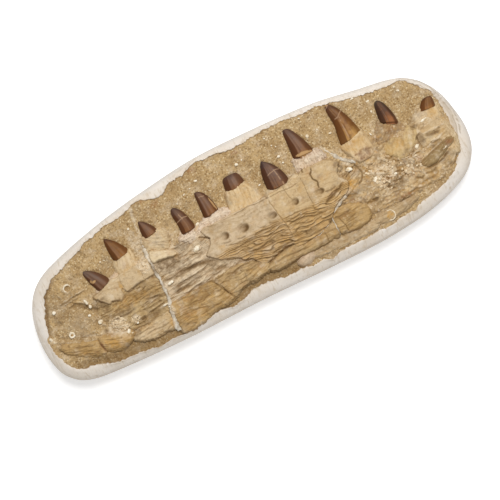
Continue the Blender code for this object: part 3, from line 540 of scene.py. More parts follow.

# Furrows between the bone's folds and layers, traced one by one: half a width, a depth and the points
# Each furrow is also darkened as painted shade
FURROWS = lines(
    (0.9, 1.6, -38, -24.8, -25, -25, -12, -24.2, 0, -24.4, 8, -26, 14, -28.7, 22, -29.8, 32, -31, 42, -31.5),
    (0.8, 1.1, -36, -17, -30, -18.2, -24, -20, -14, -21.5, 0, -21.8, 10, -20.5, 18, -21, 28, -22.8, 40, -24),
    (0.7, 0.9, -20, -15.5, -14, -17, -8, -16.5), (0.8, 0.7, -38, -12.6, -33, -13.6, -28, -14.6),
    (0.7, 0.8, 0, -18.8, 8, -19.8, 14, -19, 22, -20.8, 31, -21.4, 40, -20.6),
    (0.8, 1, 24, -15.4, 30, -17.8, 37, -19.2), (0.6, 0.6, 10, -15.6, 15, -16.6, 21, -16.2),
    (0.9, 1.1, -22, -27, -14, -28.6, -6, -28.2, 2, -27.6, 9, -28.7),
    (0.8, 0.9, 12, -24.6, 20, -25.6, 28, -26.6, 36, -27.4, 42, -27.2),
    (0.9, 1.2, -24, -29.5, -18, -32, -10, -33.5, 0, -33.4, 7, -34.4),
    (0.9, 0.9, 11, -33, 20, -34, 28, -33, 41, -33.6), (0.8, 0.8, 22, -37.6, 30, -37.2, 40, -38.4),
    (1.3, 1.9, -12, -37.3, 0, -38.6, 7, -37.5, 12, -35.6, 17.5, -36.6, 20, -39, 18.5, -41.5),
    (0.9, 0.9, 20, -41, 28, -44, 36, -45.5, 42, -44), (0.7, 0.8, -9, -49.4, -5, -49.8, -1, -49),
    (1.1, 1.6, 10, -51.6, 17, -50.6, 22, -48.8, 32, -49, 42, -48.6),
    (0.8, 1, 41, -19.6, 50, -19.6, 60, -19.3, 70, -20.3, 78, -22.2, 84, -24),
    (0.9, 1.3, 42, -25, 50, -24.3, 60, -23.8, 68, -25, 74, -28, 80, -29.6, 90, -29.2),
    (1, 1.6, 43, -29.7, 48, -28.2, 56, -27.6, 64, -28.2, 72, -30.2, 78, -33, 86, -33.6, 95, -35),
    (0.9, 1.3, 48, -32, 54, -32, 60, -33.5, 65, -36, 70, -37.5, 76, -38),
    (0.9, 1.1, 46, -36.5, 52, -38, 56, -40, 62, -41.5, 68, -42), (0.7, 0.7, 44, -42.5, 52, -42.3, 58, -43.3),
    (1, 1.5, 44, -45.5, 50, -45.8, 56, -46, 62, -47, 68, -47.5),
    (0.8, 0.9, 44, -50.4, 54, -50.8, 64, -51.4, 75, -52),
    (0.8, 0.9, 68, -44.5, 76, -45.2, 83, -44, 89, -42.4), (0.9, 0.9, 74, -39.6, 82, -38.2, 88, -37),
    (0.9, 0.9, 82, -20.4, 84, -27, 88, -29),
    (1.7, 2, 98, -26.4, 104, -23, 110, -21.4, 116, -18, 122, -16.4, 129, -12),
    (1.1, 0.9, 104, -12.6, 112, -14, 120, -12.4), (1, 1.2, 104, -38, 110, -35.8, 117, -36.8, 124, -36),
    (1.3, 1.6, 98, -47, 106, -48.3, 115, -47.6, 124, -46), (1.1, 0.8, 110, -57.6, 118, -56.2, 128, -53.4),
    (1.6, 1.8, -125, 4.4, -117, 4.4, -110, 3, -104, 1.6), (1.8, 1.4, -94, 13.6, -90, 12.6, -87, 13),
    (1.3, 1.4, -117, -9, -112, -6.7, -106, -5.4, -100, -6.8, -95, -8.2),
    (1, 1.1, -96, -11.6, -90, -11.1, -84, -10.3), (0.9, 1.4, -83, -6, -78, -7.2, -75, -8, -71.5, -9.6),
    (0.9, 1.2, -70, -7.2, -66, -6, -63.5, -3.8), (1, 1, -93, -15.6, -89, -16.6, -85, -15.8),
    (2.6, 1.8, -101, -20, -90, -21, -78, -21.6, -68, -22.4, -60, -25),
    (1.5, 1.2, -124, -20.8, -117, -22.2, -110, -20.8),
    (1.1, 1.5, -104, -31.5, -97, -32.5, -90, -31.6, -80, -30),
    (1.1, 1.5, -122, -41.5, -113, -41, -107, -40.4, -100, -38.5, -92, -36.6, -84, -35.4, -78, -34),
    (1.4, 0.9, -122, -35, -112, -34.6, -104, -33.6), (1, 0.7, -106, -24.8, -100, -25.2),
    (1.1, 1.5, -90, -45.5, -84, -46.3, -78, -46, -74, -47, -69, -48.5, -60, -47, -52, -46),
    (0.7, 1.2, -75.5, -43.5, -73.4, -47, -71, -50.5), (1, 1, -70, -41, -64, -42.3, -57, -42.6),
    (1, 1.2, -126, -50.6, -114, -50.4, -104, -52.2, -96, -52.8, -88, -51),
    (1, 1, -60, -38, -52, -38.6, -44, -37.2), (1, 1.2, -44, -51, -34, -47.8, -24, -47.6, -18, -48.6),
    (0.9, 1, -58, -53.4, -48, -51.6, -40, -50), (0.7, 0.8, -34, -51, -33, -55),
    (1, 1, -30, -56.4, -20, -56, -12, -54.8), (1, 0.9, -62, -55.4, -50, -56, -40, -58),
    (0.9, 0.9, -116, -62, -104, -61, -92, -62.6, -80, -61), (0.9, 0.8, -124, -70.5, -112, -69.6, -98, -71),
    (0.9, 0.9, -104, -79.6, -92, -78.4, -80, -77.2, -70, -76.8),
    (0.8, 0.8, -128, -83, -116, -81.4, -108, -82), (1.2, 1.4, -196, -14, -190, -15.6, -184, -16.8),
    (1.3, 1.6, -172, -11.8, -164, -10.8, -157, -9.4, -149, -8.4),
    (1, 1.2, -175, -16.5, -169, -17.5, -163, -18.5, -156, -18.5, -150, -16),
    (1, 1.2, -160, -22.5, -153, -22, -146, -22, -141, -21.7), (1.1, 1, -161, -14, -155, -13.4),
    (1.4, 1.2, -206, -31.6, -195, -31, -185, -31.5, -178, -33),
    (1.2, 1.3, -204, -35, -192, -36.2, -183, -36.6, -176, -35),
    (1.3, 1.6, -156, -31, -150, -32, -144, -32.5, -139, -34, -136, -37),
    (1, 1.2, -166, -38, -158, -36.8, -151, -35.3),
    (1, 1.2, -167, -40, -160, -41.8, -152, -42, -144, -41.3, -139, -40.5),
    (1.2, 1.7, -160, -48, -152, -46.8, -144, -45.3, -135, -44), (2.4, 1.6, -173, -50.4, -170, -50, -166, -49),
    (1.2, 1.3, -184, -53.5, -176, -54.4, -169, -54.6), (0.9, 1, -142, -27, -133, -26),
    (1, 0.9, -198, -19, -190, -19.6, -184, -21), (1.2, 0.9, -200, -27, -190, -26.4, -180, -27.6, -172, -27),
    (1, 0.8, -268, -49, -258, -51.6, -248, -56, -242, -58), (0.9, 0.7, -262, -44.6, -250, -49, -238, -53),
    (0.9, 0.7, -256, -57, -246, -61, -236, -62.6), (0.9, 0.7, -224, -53, -214, -57, -202, -60),
    (0.9, 0.7, -224, -59, -214, -63, -204, -66), (0.9, 0.8, -184, -66, -172, -64.6, -160, -65.6),
    (0.9, 0.8, -176, -71, -164, -69.4, -152, -71, -142, -70),
    (1.1, 0.9, 8, -64, 24, -62, 40, -63.6, 56, -64.4), (1.2, 1.5, 142, -46.6, 147, -49, 152, -50.8),
    (1.8, 1.8, 153, -48.6, 156, -50, 160, -49), (1.4, 1.4, 235, -6.4, 239, -3, 243, -1),
    (2.2, 1.5, 247, -7, 255, -8.6, 266, -9.4), (0.8, 0.8, 250, -19.4, 257, -19),
    (1.6, 1.5, 176, -26, 181, -31, 184, -35), (1.6, 1.4, 190, -8, 195, -12, 200, -10.6),
    (1.6, 1.4, 214, -48, 220, -52, 224, -51), (1.4, 1.2, 226, -48.6, 236, -51, 244, -48),
    (1.3, 1.6, 232, -44.4, 244, -45, 256, -42.4, 264, -37), (1.3, 1.2, 186, -40, 196, -41.4, 201, -39),
    (1.2, 1.6, 150, 4, 155, -4, 157, -13, 152, -20, 145, -24), (1.2, 1.1, 126, -30, 133, -30.6, 140, -33),
)

# Ridges of the bone, traced one by one, each with a groove along its lower side: half a width, a
# height and the points
# Each groove is also darkened as painted shade
RIDGES = lines(
    (1.5, 1.2, -109.5, -14.7, -98, -13, -81.4, -10.8), (1.7, 0.9, -91.5, -18, -80, -17.4, -69, -17),
    (1.6, 1.7, -110.6, -28.2, -101.6, -30.4, -84.8, -29.4, -74, -27.4, -62.3, -26),
    (1.4, 1.2, -122, -38.4, -108, -36, -95, -34, -86, -32, -79, -30.6),
    (1.5, 0.8, -96, -38.4, -88, -37.8, -83.6, -37.4), (1.2, 0.8, -66, -36, -58, -34.4, -50, -33.6),
    (1.4, 1.5, -129, -49.2, -120, -47, -105, -45.1, -90.4, -42.9, -69, -41.7, -55, -39, -42, -36),
    (1.3, 1.2, -126, -53, -108, -50.6, -87, -48.5, -71.3, -48.5, -53.3, -45.1, -44, -43),
    (1.2, 0.8, -124, -12, -116, -9.6, -108, -4.6, -98, -6.4, -92, -9), (1.2, 0.7, -100, 13, -90, 9.6, -82, 2),
    (1.1, 0.8, -84, -1.4, -72, 1, -60, 2.6), (1.3, 1.5, -159, -47.5, -150, -45.6, -136, -43),
    (0.9, 0.9, -162, -34, -150, -31.5, -138, -31), (0.9, 0.9, -160, -37.5, -148, -35, -140, -34),
    (0.9, 0.9, -158, -41, -148, -38.6, -138, -38.5),
    (0.9, 0.7, -203, -21, -190, -23, -176, -21.6, -160, -24, -146, -23.5),
    (0.9, 0.7, -200, -26.6, -186, -28, -172, -27.5, -158, -28.6),
    (0.8, 0.7, -166, -26, -150, -27.4, -138, -26.6), (0.8, 1.1, -178, -47, -180, -44, -181.6, -41),
    (0.8, 1, -178, -47, -174.6, -44.6, -171.6, -43.6), (0.8, 1, -178, -47, -174, -49, -171.6, -52),
    (0.8, 1, -179, -47, -182, -49, -184.6, -51.6), (1.4, 0.9, 246, 5.4, 252, 5),
    (1.6, 1.3, 246, -3.4, 254, -3, 262, -3.6, 270, -3), (1.7, 1.5, 249, -14.6, 256, -16.4, 265, -17),
    (1, 0.9, 227, -33.4, 236, -30, 246, -27, 256, -24.2, 266, -21.2),
    (1.2, 1.2, 246, -43.6, 254, -43, 262, -40), (2.2, 1.2, 214, -56, 226, -53, 240, -54),
    (1.2, 1.3, 183, -6, 190, -12, 197, -13, 203, -18), (1.1, 1.3, 176, -18, 183, -22, 186, -30),
    (1.1, 1.5, 206, -24, 204, -32, 207, -40, 202, -46), (1.1, 1.4, 214, -26, 219, -33, 227, -37),
    (1, 1.2, 190, -36, 197, -33, 203, -36), (1.3, 1.2, 168, -52, 182, -50, 196, -53),
    (1.1, 1.1, 164, -42, 176, -40, 188, -43), (1.4, 1, 196, -60, 208, -58, 218, -61),
    (1.1, 1.2, 222, -22, 228, -19, 234, -20), (1.2, 0.9, 160, -58, 170, -60, 182, -58.6),
)
# Hollows between them: ovals with a depth; the deeper ones are also darkened as painted shade
HOLLOWS = [
    (-109, -6, 17, 8, 1.8), (-86, 6, 10, 6, 1), (-115, -34, 12, 4, 8, 1.2), (-150, -51.5, 16, 4.5, 4, 1.6),
    (-96, -21.5, 34, 3, 2, 1.6), (241, -9, 5, 8, 2.4), (-60, -3, 9, 13, -2.2), (-38, -36, 28, 5, -32, -1.2),
    (240, 10, 5, 4, 1.2), (232, -45, 10, 3, 10, 1.2), (-206, -12, 8, 9, 10, 2.4), (150, -50, 12, 4, 1.4),
    (190, -46, 12, 3, 6, 1),
]

# Painted shadows in the lee of the broken edges: half a width, a strength and the points of each line
LEE_SHADOWS = lines(
    (2.6, 0.55, -65, -19, -57, -25.5, -48, -31.4, -38, -35.6, -28, -40, -22, -44.5, -13, -49, -9, -54),
    (2, 0.65, -126, 2.6, -118, 2.6, -108, 1, -98, 0.4), (1.4, 0.5, -198, -17, -190, -17.5, -184, -20),
    (1.3, 0.7, -181, -17.6, -170, -13.2, -158, -11, -146, -9.4), (1.4, 0.6, -206, -10, -201, -15),
    (1.8, 0.5, 194, -11, 202, -19, 212, -23.4, 222, -20.4, 231, -13.4, 238, -7.6),
    (1.6, 0.45, 230, -44.4, 240, -45, 252, -43, 264, -37.6),
)

# Stained places, by colour: ovals with a strength. The shade ovals are mostly painted shade in recesses,
# under broken edges and beside the rim, with a few dark patches
STAINS = {
    "rust": [
        (170, 8, 13, 7, 5, 0.75), (168, 4, 9, 5, 0.5), (195, -62, 12, 2.5, 0.75), (270, -27, 7, 4, 25, 0.8),
        (-33, 88, 5, 6, 60, 0.7), (-92, 72, 7, 4, 30, 0.45), (-214, -50, 3, 6, 60, 0.3),
        (-115, -72, 9, 4, 5, 0.5), (-230.5, -57, 2.2, 9, 8, 1), (26, 83, 5, 3, 0.5),
        (111, -18.7, 9, 2.2, 20, 0.7), (212, 20, 9, 6, 0.25), (168, 8, 13, 6, 0.9), (-106, 82, 4, 3, 0.5),
        (-108, -54, 8, 2.5, 5, 0.45), (-120, -62, 5, 8, 0.3), (214, -42, 5, 6, 0.35),
        (182, -33, 6, 4, 30, 0.6), (229, -29, 4, 6, 0.6), (96, 20, 3, 6, 0.3), (-70, 20, 10, 4, 0.2),
        (-8, -60, 4, 9, 30, 0.3), (190, 18, 5, 5, 0.3),
    ],
    "ochre": [
        (-258.6, -28.6, 2.4, 2.2, 0.8), (205, -39, 4, 5, 0.9), (213, 31, 6, 7, 0.5),
        (164, -75.4, 5.5, 5.5, 0.9), (-238.6, 26, 5, 5, 0.5), (-165, -68, 14, 5, 5, 0.5),
        (-210, -61, 18, 8, -14, 0.85), (139.5, -20, 10.5, 7.5, 5, 1), (8, 27, 13, 12, 0.45),
        (165, 22, 13, 9, 0.6), (269, 14, 6, 9, 0.7), (-170, -24, 22, 4, 3, 0.45), (-160, 25, 9, 5, 0.25),
        (-108, -76, 14, 8, 8, 0.45), (206, -32, 4, 8, 20, 0.5), (251, 0, 9, 9, 0.25),
        (-252, -55, 12, 6, -20, 0.4), (70, -62, 24, 5, 2, 0.3), (-14, -62, 12, 6, 0.3),
        (216, -56, 12, 8, 0.35), (-98, 5, 7, 8, 0.3), (-97, -0.5, 5, 7, 0.8), (-172, -23, 34, 8, 0.6),
        (-176, -2, 2.4, 8, 0.7), (200, -2, 7, 9, 0.5), (212, -2, 12, 9, 0.6), (236, -55, 12, 9, 0.5),
        (166, 24, 12, 7, 0.6), (-140, -70, 4, 8, 0.6),
    ],
    "pale": [
        (-140, 9, 8, 13, 1), (-178, -47, 7, 6, 0.9), (-202, -47, 14, 15, 1), (-129.5, 14, 3, 7, 0.8),
        (-132, -57, 4, 8, 0.8), (230, 1, 12, 2.8, 66, 0.65), (145, 7, 6, 6, 0.8),
        (114, -31, 10, 2.4, 30, 0.6), (-136, 36, 8, 24, 8, 0.7), (-158, 22, 10, 9, 0.5),
        (-33, -39.5, 6, 4, 0.6), (11.5, -44.6, 9, 3.4, 8, 0.8), (-243, -21, 18, 14, 0.3),
        (-165, -68, 22, 7, 5, 0.45), (-112, 28, 12, 9, 0.45), (-95, 8, 12, 6, -20, 0.3),
        (-88, -14, 18, 3, 4, 0.35), (-90, -28, 22, 2.4, 3, 0.5), (-95, -45, 28, 2.6, 6, 0.5),
        (-116, -26, 7, 3, 0.6), (-242, -38, 20, 1.8, -25, 0.6), (-285, -24, 3, 5, 0.7), (231, -15, 4, 4, 0.8),
        (254, 5, 8, 2, -8, 0.4), (257, -3.6, 11, 1.6, 0.7), (258, -16.4, 8, 1.6, -8, 0.9),
        (254, -44, 7, 2, 16, 0.7), (242, 2, 3, 3, 0.6), (-118, 14, 7, 5, -25, 0.5), (-80, -14, 14, 3, 4, 0.4),
        (-137, 26, 7, 18, 5, 0.45), (-72, 12, 13, 6, 0.5), (-28, 20, 20, 5, 0.45), (104, 32, 18, 6, 0.6),
        (-125, -26, 7, 3, 10, 0.9), (-88, 40, 12, 16, 0.12), (252, 17, 10, 6, 20, 0.6),
        (224, -14, 5, 3, 40, 0.4), (190, -28, 6, 5, 0.6), (170, -30, 8, 6, 0.45), (212, -32, 5, 3, -30, 0.7),
        (160, 40, 3, 12, 0.1), (11, -43.5, 11, 4, 5, 0.5), (-198, -62, 6, 3, -10, 0.3),
        (-192, 55, 8, 3, -20, 0.5), (-178, 10, 6, 3, 10, 0.4), (257, -17, 12, 1.8, 18, 0.9),
        (-70, -3, 8, 4, -10, 0.6), (-205, -45, 12, 9, -20, 0.3), (28, 25, 3, 10, -20, 0.6),
        (128, -26, 14, 3, 25, 0.6), (150, -10, 10, 4, 30, 0.4), (-45, -38, 6, 5, 0.3), (120, 30, 6, 6, 0.4),
        (-140, -48, 6, 2, 0.7), (175, -12, 8, 6, 0.3), (-226, 2, 4, 7, -10, 0.5),
    ],
    "grey": [
        (-109, -35, 12, 5, 8, 0.6), (-86, 6, 12, 8, 0.6), (-190, -35.5, 26, 3, 2, 0.6),
        (-262, 10, 18, 22, 0.3), (186, -44, 26, 8, 5, 0.35), (266, -42, 8, 6, 30, 0.5), (133, 8, 6, 8, 0.75),
        (142, -31.5, 13, 4.6, 8, 0.8), (183, -6, 8, 7, 0.35), (-250, -20, 24, 18, 0.25),
        (160, -48, 14, 10, 0.3), (-75, 8, 12, 7, 0.3), (-108, -10, 16, 8, 0.4), (-150, 60, 10, 12, 0.2),
        (243, -8, 5, 9, 0.4), (-45, -30, 14, 8, -30, 0.25), (70, -77, 60, 5, 0.3), (-60, 5, 9, 7, 0.35),
    ],
    "shade": [
        (-110, -3, 19, 8.5, 1), (-129.5, -1, 2.6, 8, 0.8), (-128, -24, 2.4, 4, 0.5), (205, 16, 22, 4, 0.6),
        (172, 9, 14, 5, 0.8), (240, 17, 5, 4, 0.5), (-190, -35.5, 24, 2.4, 2, 0.4), (-60, -20, 4, 6, 0.3),
        (-109, -35, 10, 4, 8, 0.35), (-262, -4, 9, 5, 0.45), (-276, 8, 3, 24, -22, 0.35),
        (-230.5, -57, 1.7, 8, 8, 0.6), (-96, -21.5, 32, 2.6, 2, 0.6), (-150, -51.5, 15, 4, 4, 0.45),
        (241, -9, 5, 8, 0.75), (257, -8.4, 9, 1.9, -4, 0.75), (254, -19.4, 6, 1.2, 4, 0.5),
        (239, 9, 5, 3.6, 0.7), (219, -13, 6, 3, 10, 0.45), (240, 10, 4.5, 3.6, 0.7), (169, 7, 11, 5, 0.6),
        (-86, 6, 8, 5, 0.35), (-108, -8, 18, 7, 0.75), (-207, -14, 8, 12, 15, 0.75),
        (-68, -23.6, 14, 3.6, -10, 0.8), (239, -8, 5, 6, 0.6), (-185, -63, 6, 6, 40, 0.7),
        (-240, -72, 34, 4, -12, 0.55), (178, -65.6, 32, 1.5, 0.7), (156, -50, 4, 2.6, 0.7),
        (86, -34.4, 9, 2.2, 0.25), (133.5, 8, 5.2, 7.5, 8, 0.9), (108, -20.4, 8, 2.2, 22, 0.7),
        (-218, -43, 3, 2.6, 0.7), (-230, -3, 9, 2.6, -40, 0.8), (-216, -13, 7, 2.4, -45, 0.6),
        (-248, 10.6, 9, 1.2, 0.7), (-231, 13.2, 10, 0.8, 0.7), (-243, 18.4, 7, 1.2, 0.5),
        (-239, 26.6, 3.6, 3, 0.5), (-264, -8, 3, 2.4, 0.5), (-192, -33.6, 16, 2.6, 0.5),
        (-164, -11.4, 11, 1.6, 8, 0.7), (-190, -16, 7, 1.4, -14, 0.6), (-120, -21.4, 7, 1.8, 0.6),
        (-150, -31.6, 7, 1.8, -4, 0.5), (220, -50, 4, 3, 0.5), (-62, -29, 9, 4, -30, 0.75),
        (-168, -50.2, 4, 2.4, 10, 0.6), (128, 40.4, 2.4, 1.6, -50, 0.8), (36, 13.6, 2.2, 1.6, 0.8),
        (-160, -57.6, 18, 1.2, 6, 0.5), (256, -41, 12, 1.6, 24, 0.6),
    ],
}

# How bone is mottled with each of them: its most, the size of its patches and the number of its noise
MOTTLE = {"pale": (0.55, 14, 40), "ochre": (0.48, 17, 41), "rust": (0.26, 11, 42), "grey": (0.48, 13, 43)}

# Shells and light chips in the rock and the bone: place, height, half sizes and turn
CHIPS = [
    (-266.5, 6.3, 45.6, 2.6, 2.2, 20), (-224.6, 0, 46, 1.8, 3.6, 20), (-222.4, -7, 45.6, 2.2, 2.4, 0),
    (-219.6, -30, 46.8, 3.2, 2.8, 10), (-227.9, -16.6, 47.2, 1.9, 1.7, 0), (-285, -22, 44.6, 1.8, 2.6, 20),
    (-283, -27, 44.4, 1.4, 1.6, 0), (-178, -52, 48.6, 1.6, 1.2, 0), (-190, -60, 48.4, 1.6, 1.2, 0),
    (-186, 37, 44.9, 1.4, 1.1, 30), (-181, 36.5, 44.9, 1, 0.9, 0), (21, 68.5, 44.9, 2.2, 1.9, 0),
    (29.5, 70.5, 44.9, 1.1, 1.1, 0), (-34, 73.5, 44.9, 2.6, 1.3, -25), (-54.5, 64.5, 44.9, 1.6, 1, 20),
    (-67, 58, 44.9, 1.3, 1.3, 0), (67, 81.5, 44.9, 1.2, 1.1, 0), (71, 69.5, 44.9, 1.1, 1, 0),
    (75, 66, 44.9, 1, 0.8, 0), (73, 53.5, 44.9, 2.3, 1.6, 15), (74.5, 44, 44.9, 1.3, 1.1, 0),
    (116.5, 60, 44.9, 2.3, 2.2, 10), (131, 61.5, 44.9, 0.9, 0.8, 0), (143.5, 50.5, 44.9, 1.9, 1.3, 10),
    (117, 84.5, 44.9, 1.6, 0.9, -40), (35.5, 32.5, 45, 2, 0.9, 10), (241, 66, 44.8, 1.9, 1.4, 40),
    (243, 59.5, 44.8, 2.2, 1.2, -20), (203.5, 64.5, 44.8, 2.3, 1.3, 0), (187.5, 76, 44.7, 2.4, 0.9, 0),
    (188, 26, 45.4, 0.9, 2.2, 25), (202, 51, 44.8, 1.2, 1.8, 0), (-70.6, -2.6, 49.4, 5.4, 3, 26),
    (143.7, -1.3, 50.2, 4.6, 2.6, -15), (-118.5, -26, 49.2, 4.8, 2, 12), (11, -44.5, 51.6, 2.2, 1.2, 10),
    (-137, -47.6, 49.6, 4.4, 1.3, 3), (193, -32, 49.8, 2.2, 1.6, 0), (232, -14, 50.4, 3.6, 2.2, 40),
    (169, -28, 49.8, 5, 4, -10), (213, -31, 49.9, 4.2, 1.8, -35), (-192.6, -56.6, 49.2, 3.8, 2.2, 60),
    (-136, 58, 44.9, 1.6, 1.6, 0), (-134, -52, 50.6, 1.2, 0.8, 0), (-45, 68, 44.9, 1, 0.6, 0),
    (-56, 24, 46.6, 2.6, 1.8, 20), (254, 12, 49.9, 4.2, 1.4, 15), (262, -31, 51.2, 3.6, 1, 15),
]
# Rings of shell that lie in the rock: place, height, radius, thickness, their tip and its raised side
SHELL_RINGS = [
    (-258.6, -28.6, 46.4, 2.9, 1.3, 8, 90), (-238.2, 26, 43.6, 4.8, 1.1, 22, 120),
    (164, -75.4, 46.9, 6.4, 0.75, 16, -10),
]

# The groove around the round mass, the rods in the rock (half a width, a height and the points of each;
# a groove runs along its lower side) and the rings in it (place, radius and height)
DISC_GROOVE = pairs(-241, 3.4, -236, 1.6, -231, -2, -225, -8.4, -219.6, -12.8, -213.6, -18, -207, -22.6,
    -202, -25)
RODS = lines(
    (1.1, 2.2, -254, 12.2, -246, 13.2, -240, 14, -230, 15, -220.5, 15.4),
    (1, 1.5, -251, 9.4, -241, 10, -232, 10.8), (1, 1.3, -252.4, 21.4, -250.6, 18, -252, 14.6),
    (1.5, 1.5, -246, 4.4, -238, 6, -231, 3, -225, -1.4), (1.1, 1.1, -276, -24.6, -271, -25, -266, -27.4),
    (1.5, 1.4, -277, -30.4, -268, -35, -255, -41, -243, -45.4, -234, -47.2),
    (1.1, 1.5, -230, -36, -231.4, -41, -226, -44.4), (1.1, 1.3, -233.4, -29, -232.6, -38),
    (1, 1.2, -236, -36, -240, -37.4, -247, -36.4), (1, 1.4, -222, -21, -221, -28),
    (1, 1, -227, -19, -227.6, -26), (1.3, 1, -258, 0, -262, -3, -266, -7),
    (1.4, 1.2, -222, -34, -214, -37, -207, -36), (1.8, 1.2, -214, -50, -204, -51, -194, -54),
)
RINGS = [(-238.6, 26.4, 5.6, 1.5), (-229, 33, 3, 0.5), (-222, -30, 5, 0.8)]

# The jacket's outer wall from the floor up: height, and how far it stands in from its outline
WALL = [
    (0, 13), (0.6, 10.5), (2, 8.2), (5, 5.4), (9, 3), (14, 1.2), (19, 0.3), (24, 0), (28.5, 0.2), (32, 0.7),
    (35, 1.5), (37.4, 2.6), (39.3, 4), (40.9, 5.7), (42.2, 7.7), (43.2, 9.8),
]

# Tan water marks on the rim: half a width, a strength and the points of each line
RIM_STREAKS = lines(
    (0.9, 0.8, 250, 73, 262, 68, 272, 59, 280, 48, 286, 34, 289, 20, 291, 4, 289, -12, 284, -26),
    (0.5, 0.55, 262, 71, 275, 61, 284, 48, 290.5, 32, 293.5, 16, 295.5, 0, 294, -10, 291, -20),
    (2.6, 0.4, 284, 36, 287, 18, 288, 2, 286, -16), (0.5, 0.7, 258, 64, 270, 53, 279, 41, 286, 31, 290, 25),
    (0.6, 0.8, 290, 25, 294.4, 14, 296, 7, 295.6, 0, 294, -7, 291.6, -16, 289, -24),
    (0.7, 0.35, -257, -89, -245, -91.5, -225, -94, -200, -95.5),
    (0.8, 0.3, -60, -97.5, 0, -98.5, 60, -100, 140, -99.5, 200, -95.5, 240, -87),
    (0.6, 0.3, -297, -30, -296.5, -10, -292, 10, -286, 26), (1, 0.35, -38, 92, -30, 97, -22, 98.5),
    (0.6, 0.3, -62, 90, -50, 93.5, -36, 95.5),
)


def places_of(verts):
    """Where vertices lie, as rows."""
    return np.array([v.co[:] for v in verts])


def vertex_arrays(bm):
    """The X and Y of every vertex, as arrays."""
    places = places_of(bm.verts)
    return places[:, 0], places[:, 1]


def spread_grid(bm, loop, cell, margin=2.0):
    """A flat grid over a loop's box."""
    low, high = loop.min(axis=0) - margin, loop.max(axis=0) + margin
    size, middle = high - low, (high + low) / 2
    columns, rows = (int(s / cell) + 1 for s in size)
    place = Matrix.Translation((*middle, 0)) @ Matrix.Diagonal((size[0], size[1], 1, 1))
    bmesh.ops.create_grid(bm, x_segments=columns, y_segments=rows, size=0.5, matrix=place)


def measured(loop, bite, seed, x, y):
    """The distance inside a bitten loop, and the nearest point on it."""
    shift_x = bite * (0.6 * layers(x, y, 9.0, 2, seed) + 0.5 * layers(x, y, 3.0, 2, seed + 9))
    shift_y = bite * (0.6 * layers(x, y, 9.0, 2, seed + 5) + 0.5 * layers(x, y, 3.0, 2, seed + 14))
    away, near_x, near_y = edge_of(loop, x + shift_x, y + shift_y)
    return away, near_x - shift_x, near_y - shift_y


def trim(bm, cell, away, near_x, near_y):
    """Cuts a grid back to the places where away is positive, with its last row on the edge itself."""
    number = bm.verts.layers.int.new("number")
    for i, v in enumerate(bm.verts):
        v[number] = i
    beyond, almost = -0.45 * cell, 0.25 * cell
    bmesh.ops.delete(bm, geom=[v for v, d in zip(bm.verts, away) if d < beyond], context="VERTS")
    while True:
        thin = [v for v in bm.verts if len(v.link_faces) < 2 and v.is_boundary or not v.link_faces]
        thin = [v for v in thin if away[v[number]] < almost or not v.link_faces]
        if not thin:
            break
        bmesh.ops.delete(bm, geom=thin, context="VERTS")
    for v in bm.verts:
        if v.is_boundary:
            i = v[number]
            v.co.x, v.co.y = near_x[i], near_y[i]
            away[i] = 0
    kept = np.array([v[number] for v in bm.verts])
    bm.verts.layers.int.remove(number)
    return away[kept]


def keep_marks(bm, marks):
    """Stores arrays of one number for each vertex as layers of the mesh."""
    for name, values in marks.items():
        layer = bm.verts.layers.float.new(name)
        for v, value in zip(bm.verts, values):
            v[layer] = value


def keep_fibres(bm, along, across):
    """Stores how far each vertex lies along the fibres and across them, in metres."""
    layer = bm.verts.layers.float_vector.new("fibre")
    for v, u, w in zip(bm.verts, along * MM, across * MM):
        v[layer] = Vector((u, w, 0))


def open_edges(bm):
    return [e for e in bm.edges if e.is_boundary]


def drawn_out(bm, edges):
    """Draws open edges out into a new row of faces; gives back its far edges and their vertices."""
    made = bmesh.ops.extrude_edge_only(bm, edges=edges)["geom"]
    far = [e for e in made if isinstance(e, bmesh.types.BMEdge) and e.is_boundary]
    return far, [v for v in made if isinstance(v, bmesh.types.BMVert)]


def wall_down(bm, rim, levels, seed=0):
    """Walls off open edges in steps, each a height and how far it stands out, and floors them."""
    for height, out in levels:
        rim, ring = drawn_out(bm, rim)
        for v in ring:
            v.co.z = min(v.co.z - 0.2, height)
        if out:
            x, y, _ = places_of(ring).T
            push_x, push_y = (out * layers(x, y, 2.2, 2, seed + k) for k in (3, 4))
            for v, dx, dy in zip(ring, push_x, push_y):
                v.co.x += dx
                v.co.y += dy
    bmesh.ops.contextual_create(bm, geom=rim)


def set_heights(bm, height):
    for v, z in zip(bm.verts, height):
        v.co.z = z


def placed(name, data):
    """An object that is in the scene."""
    made = bpy.data.objects.new(name, data)
    bpy.context.scene.collection.objects.link(made)
    return made


def finished(name, bm, finish, node=None, smooth_faces=True):
    """The mesh in metres, as a piece that rides on the model and stands for its CAD node."""
    bmesh.ops.scale(bm, vec=(MM, MM, MM), verts=bm.verts)
    bmesh.ops.recalc_face_normals(bm, faces=bm.faces)
    for face in bm.faces:
        face.smooth = smooth_faces
    mesh = bpy.data.meshes.new(name)
    bm.to_mesh(mesh)
    bm.free()
    piece = placed(name, mesh)
    mesh.materials.append(FINISHES[finish])
    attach(piece, "root")
    if node:
        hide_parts(node)
    return piece


def surface_places(piece):
    """Where the vertices of a finished piece lie, in millimetres."""
    flat = np.empty(len(piece.data.vertices) * 3)
    piece.data.vertices.foreach_get("co", flat)
    return flat.reshape(-1, 3) / MM


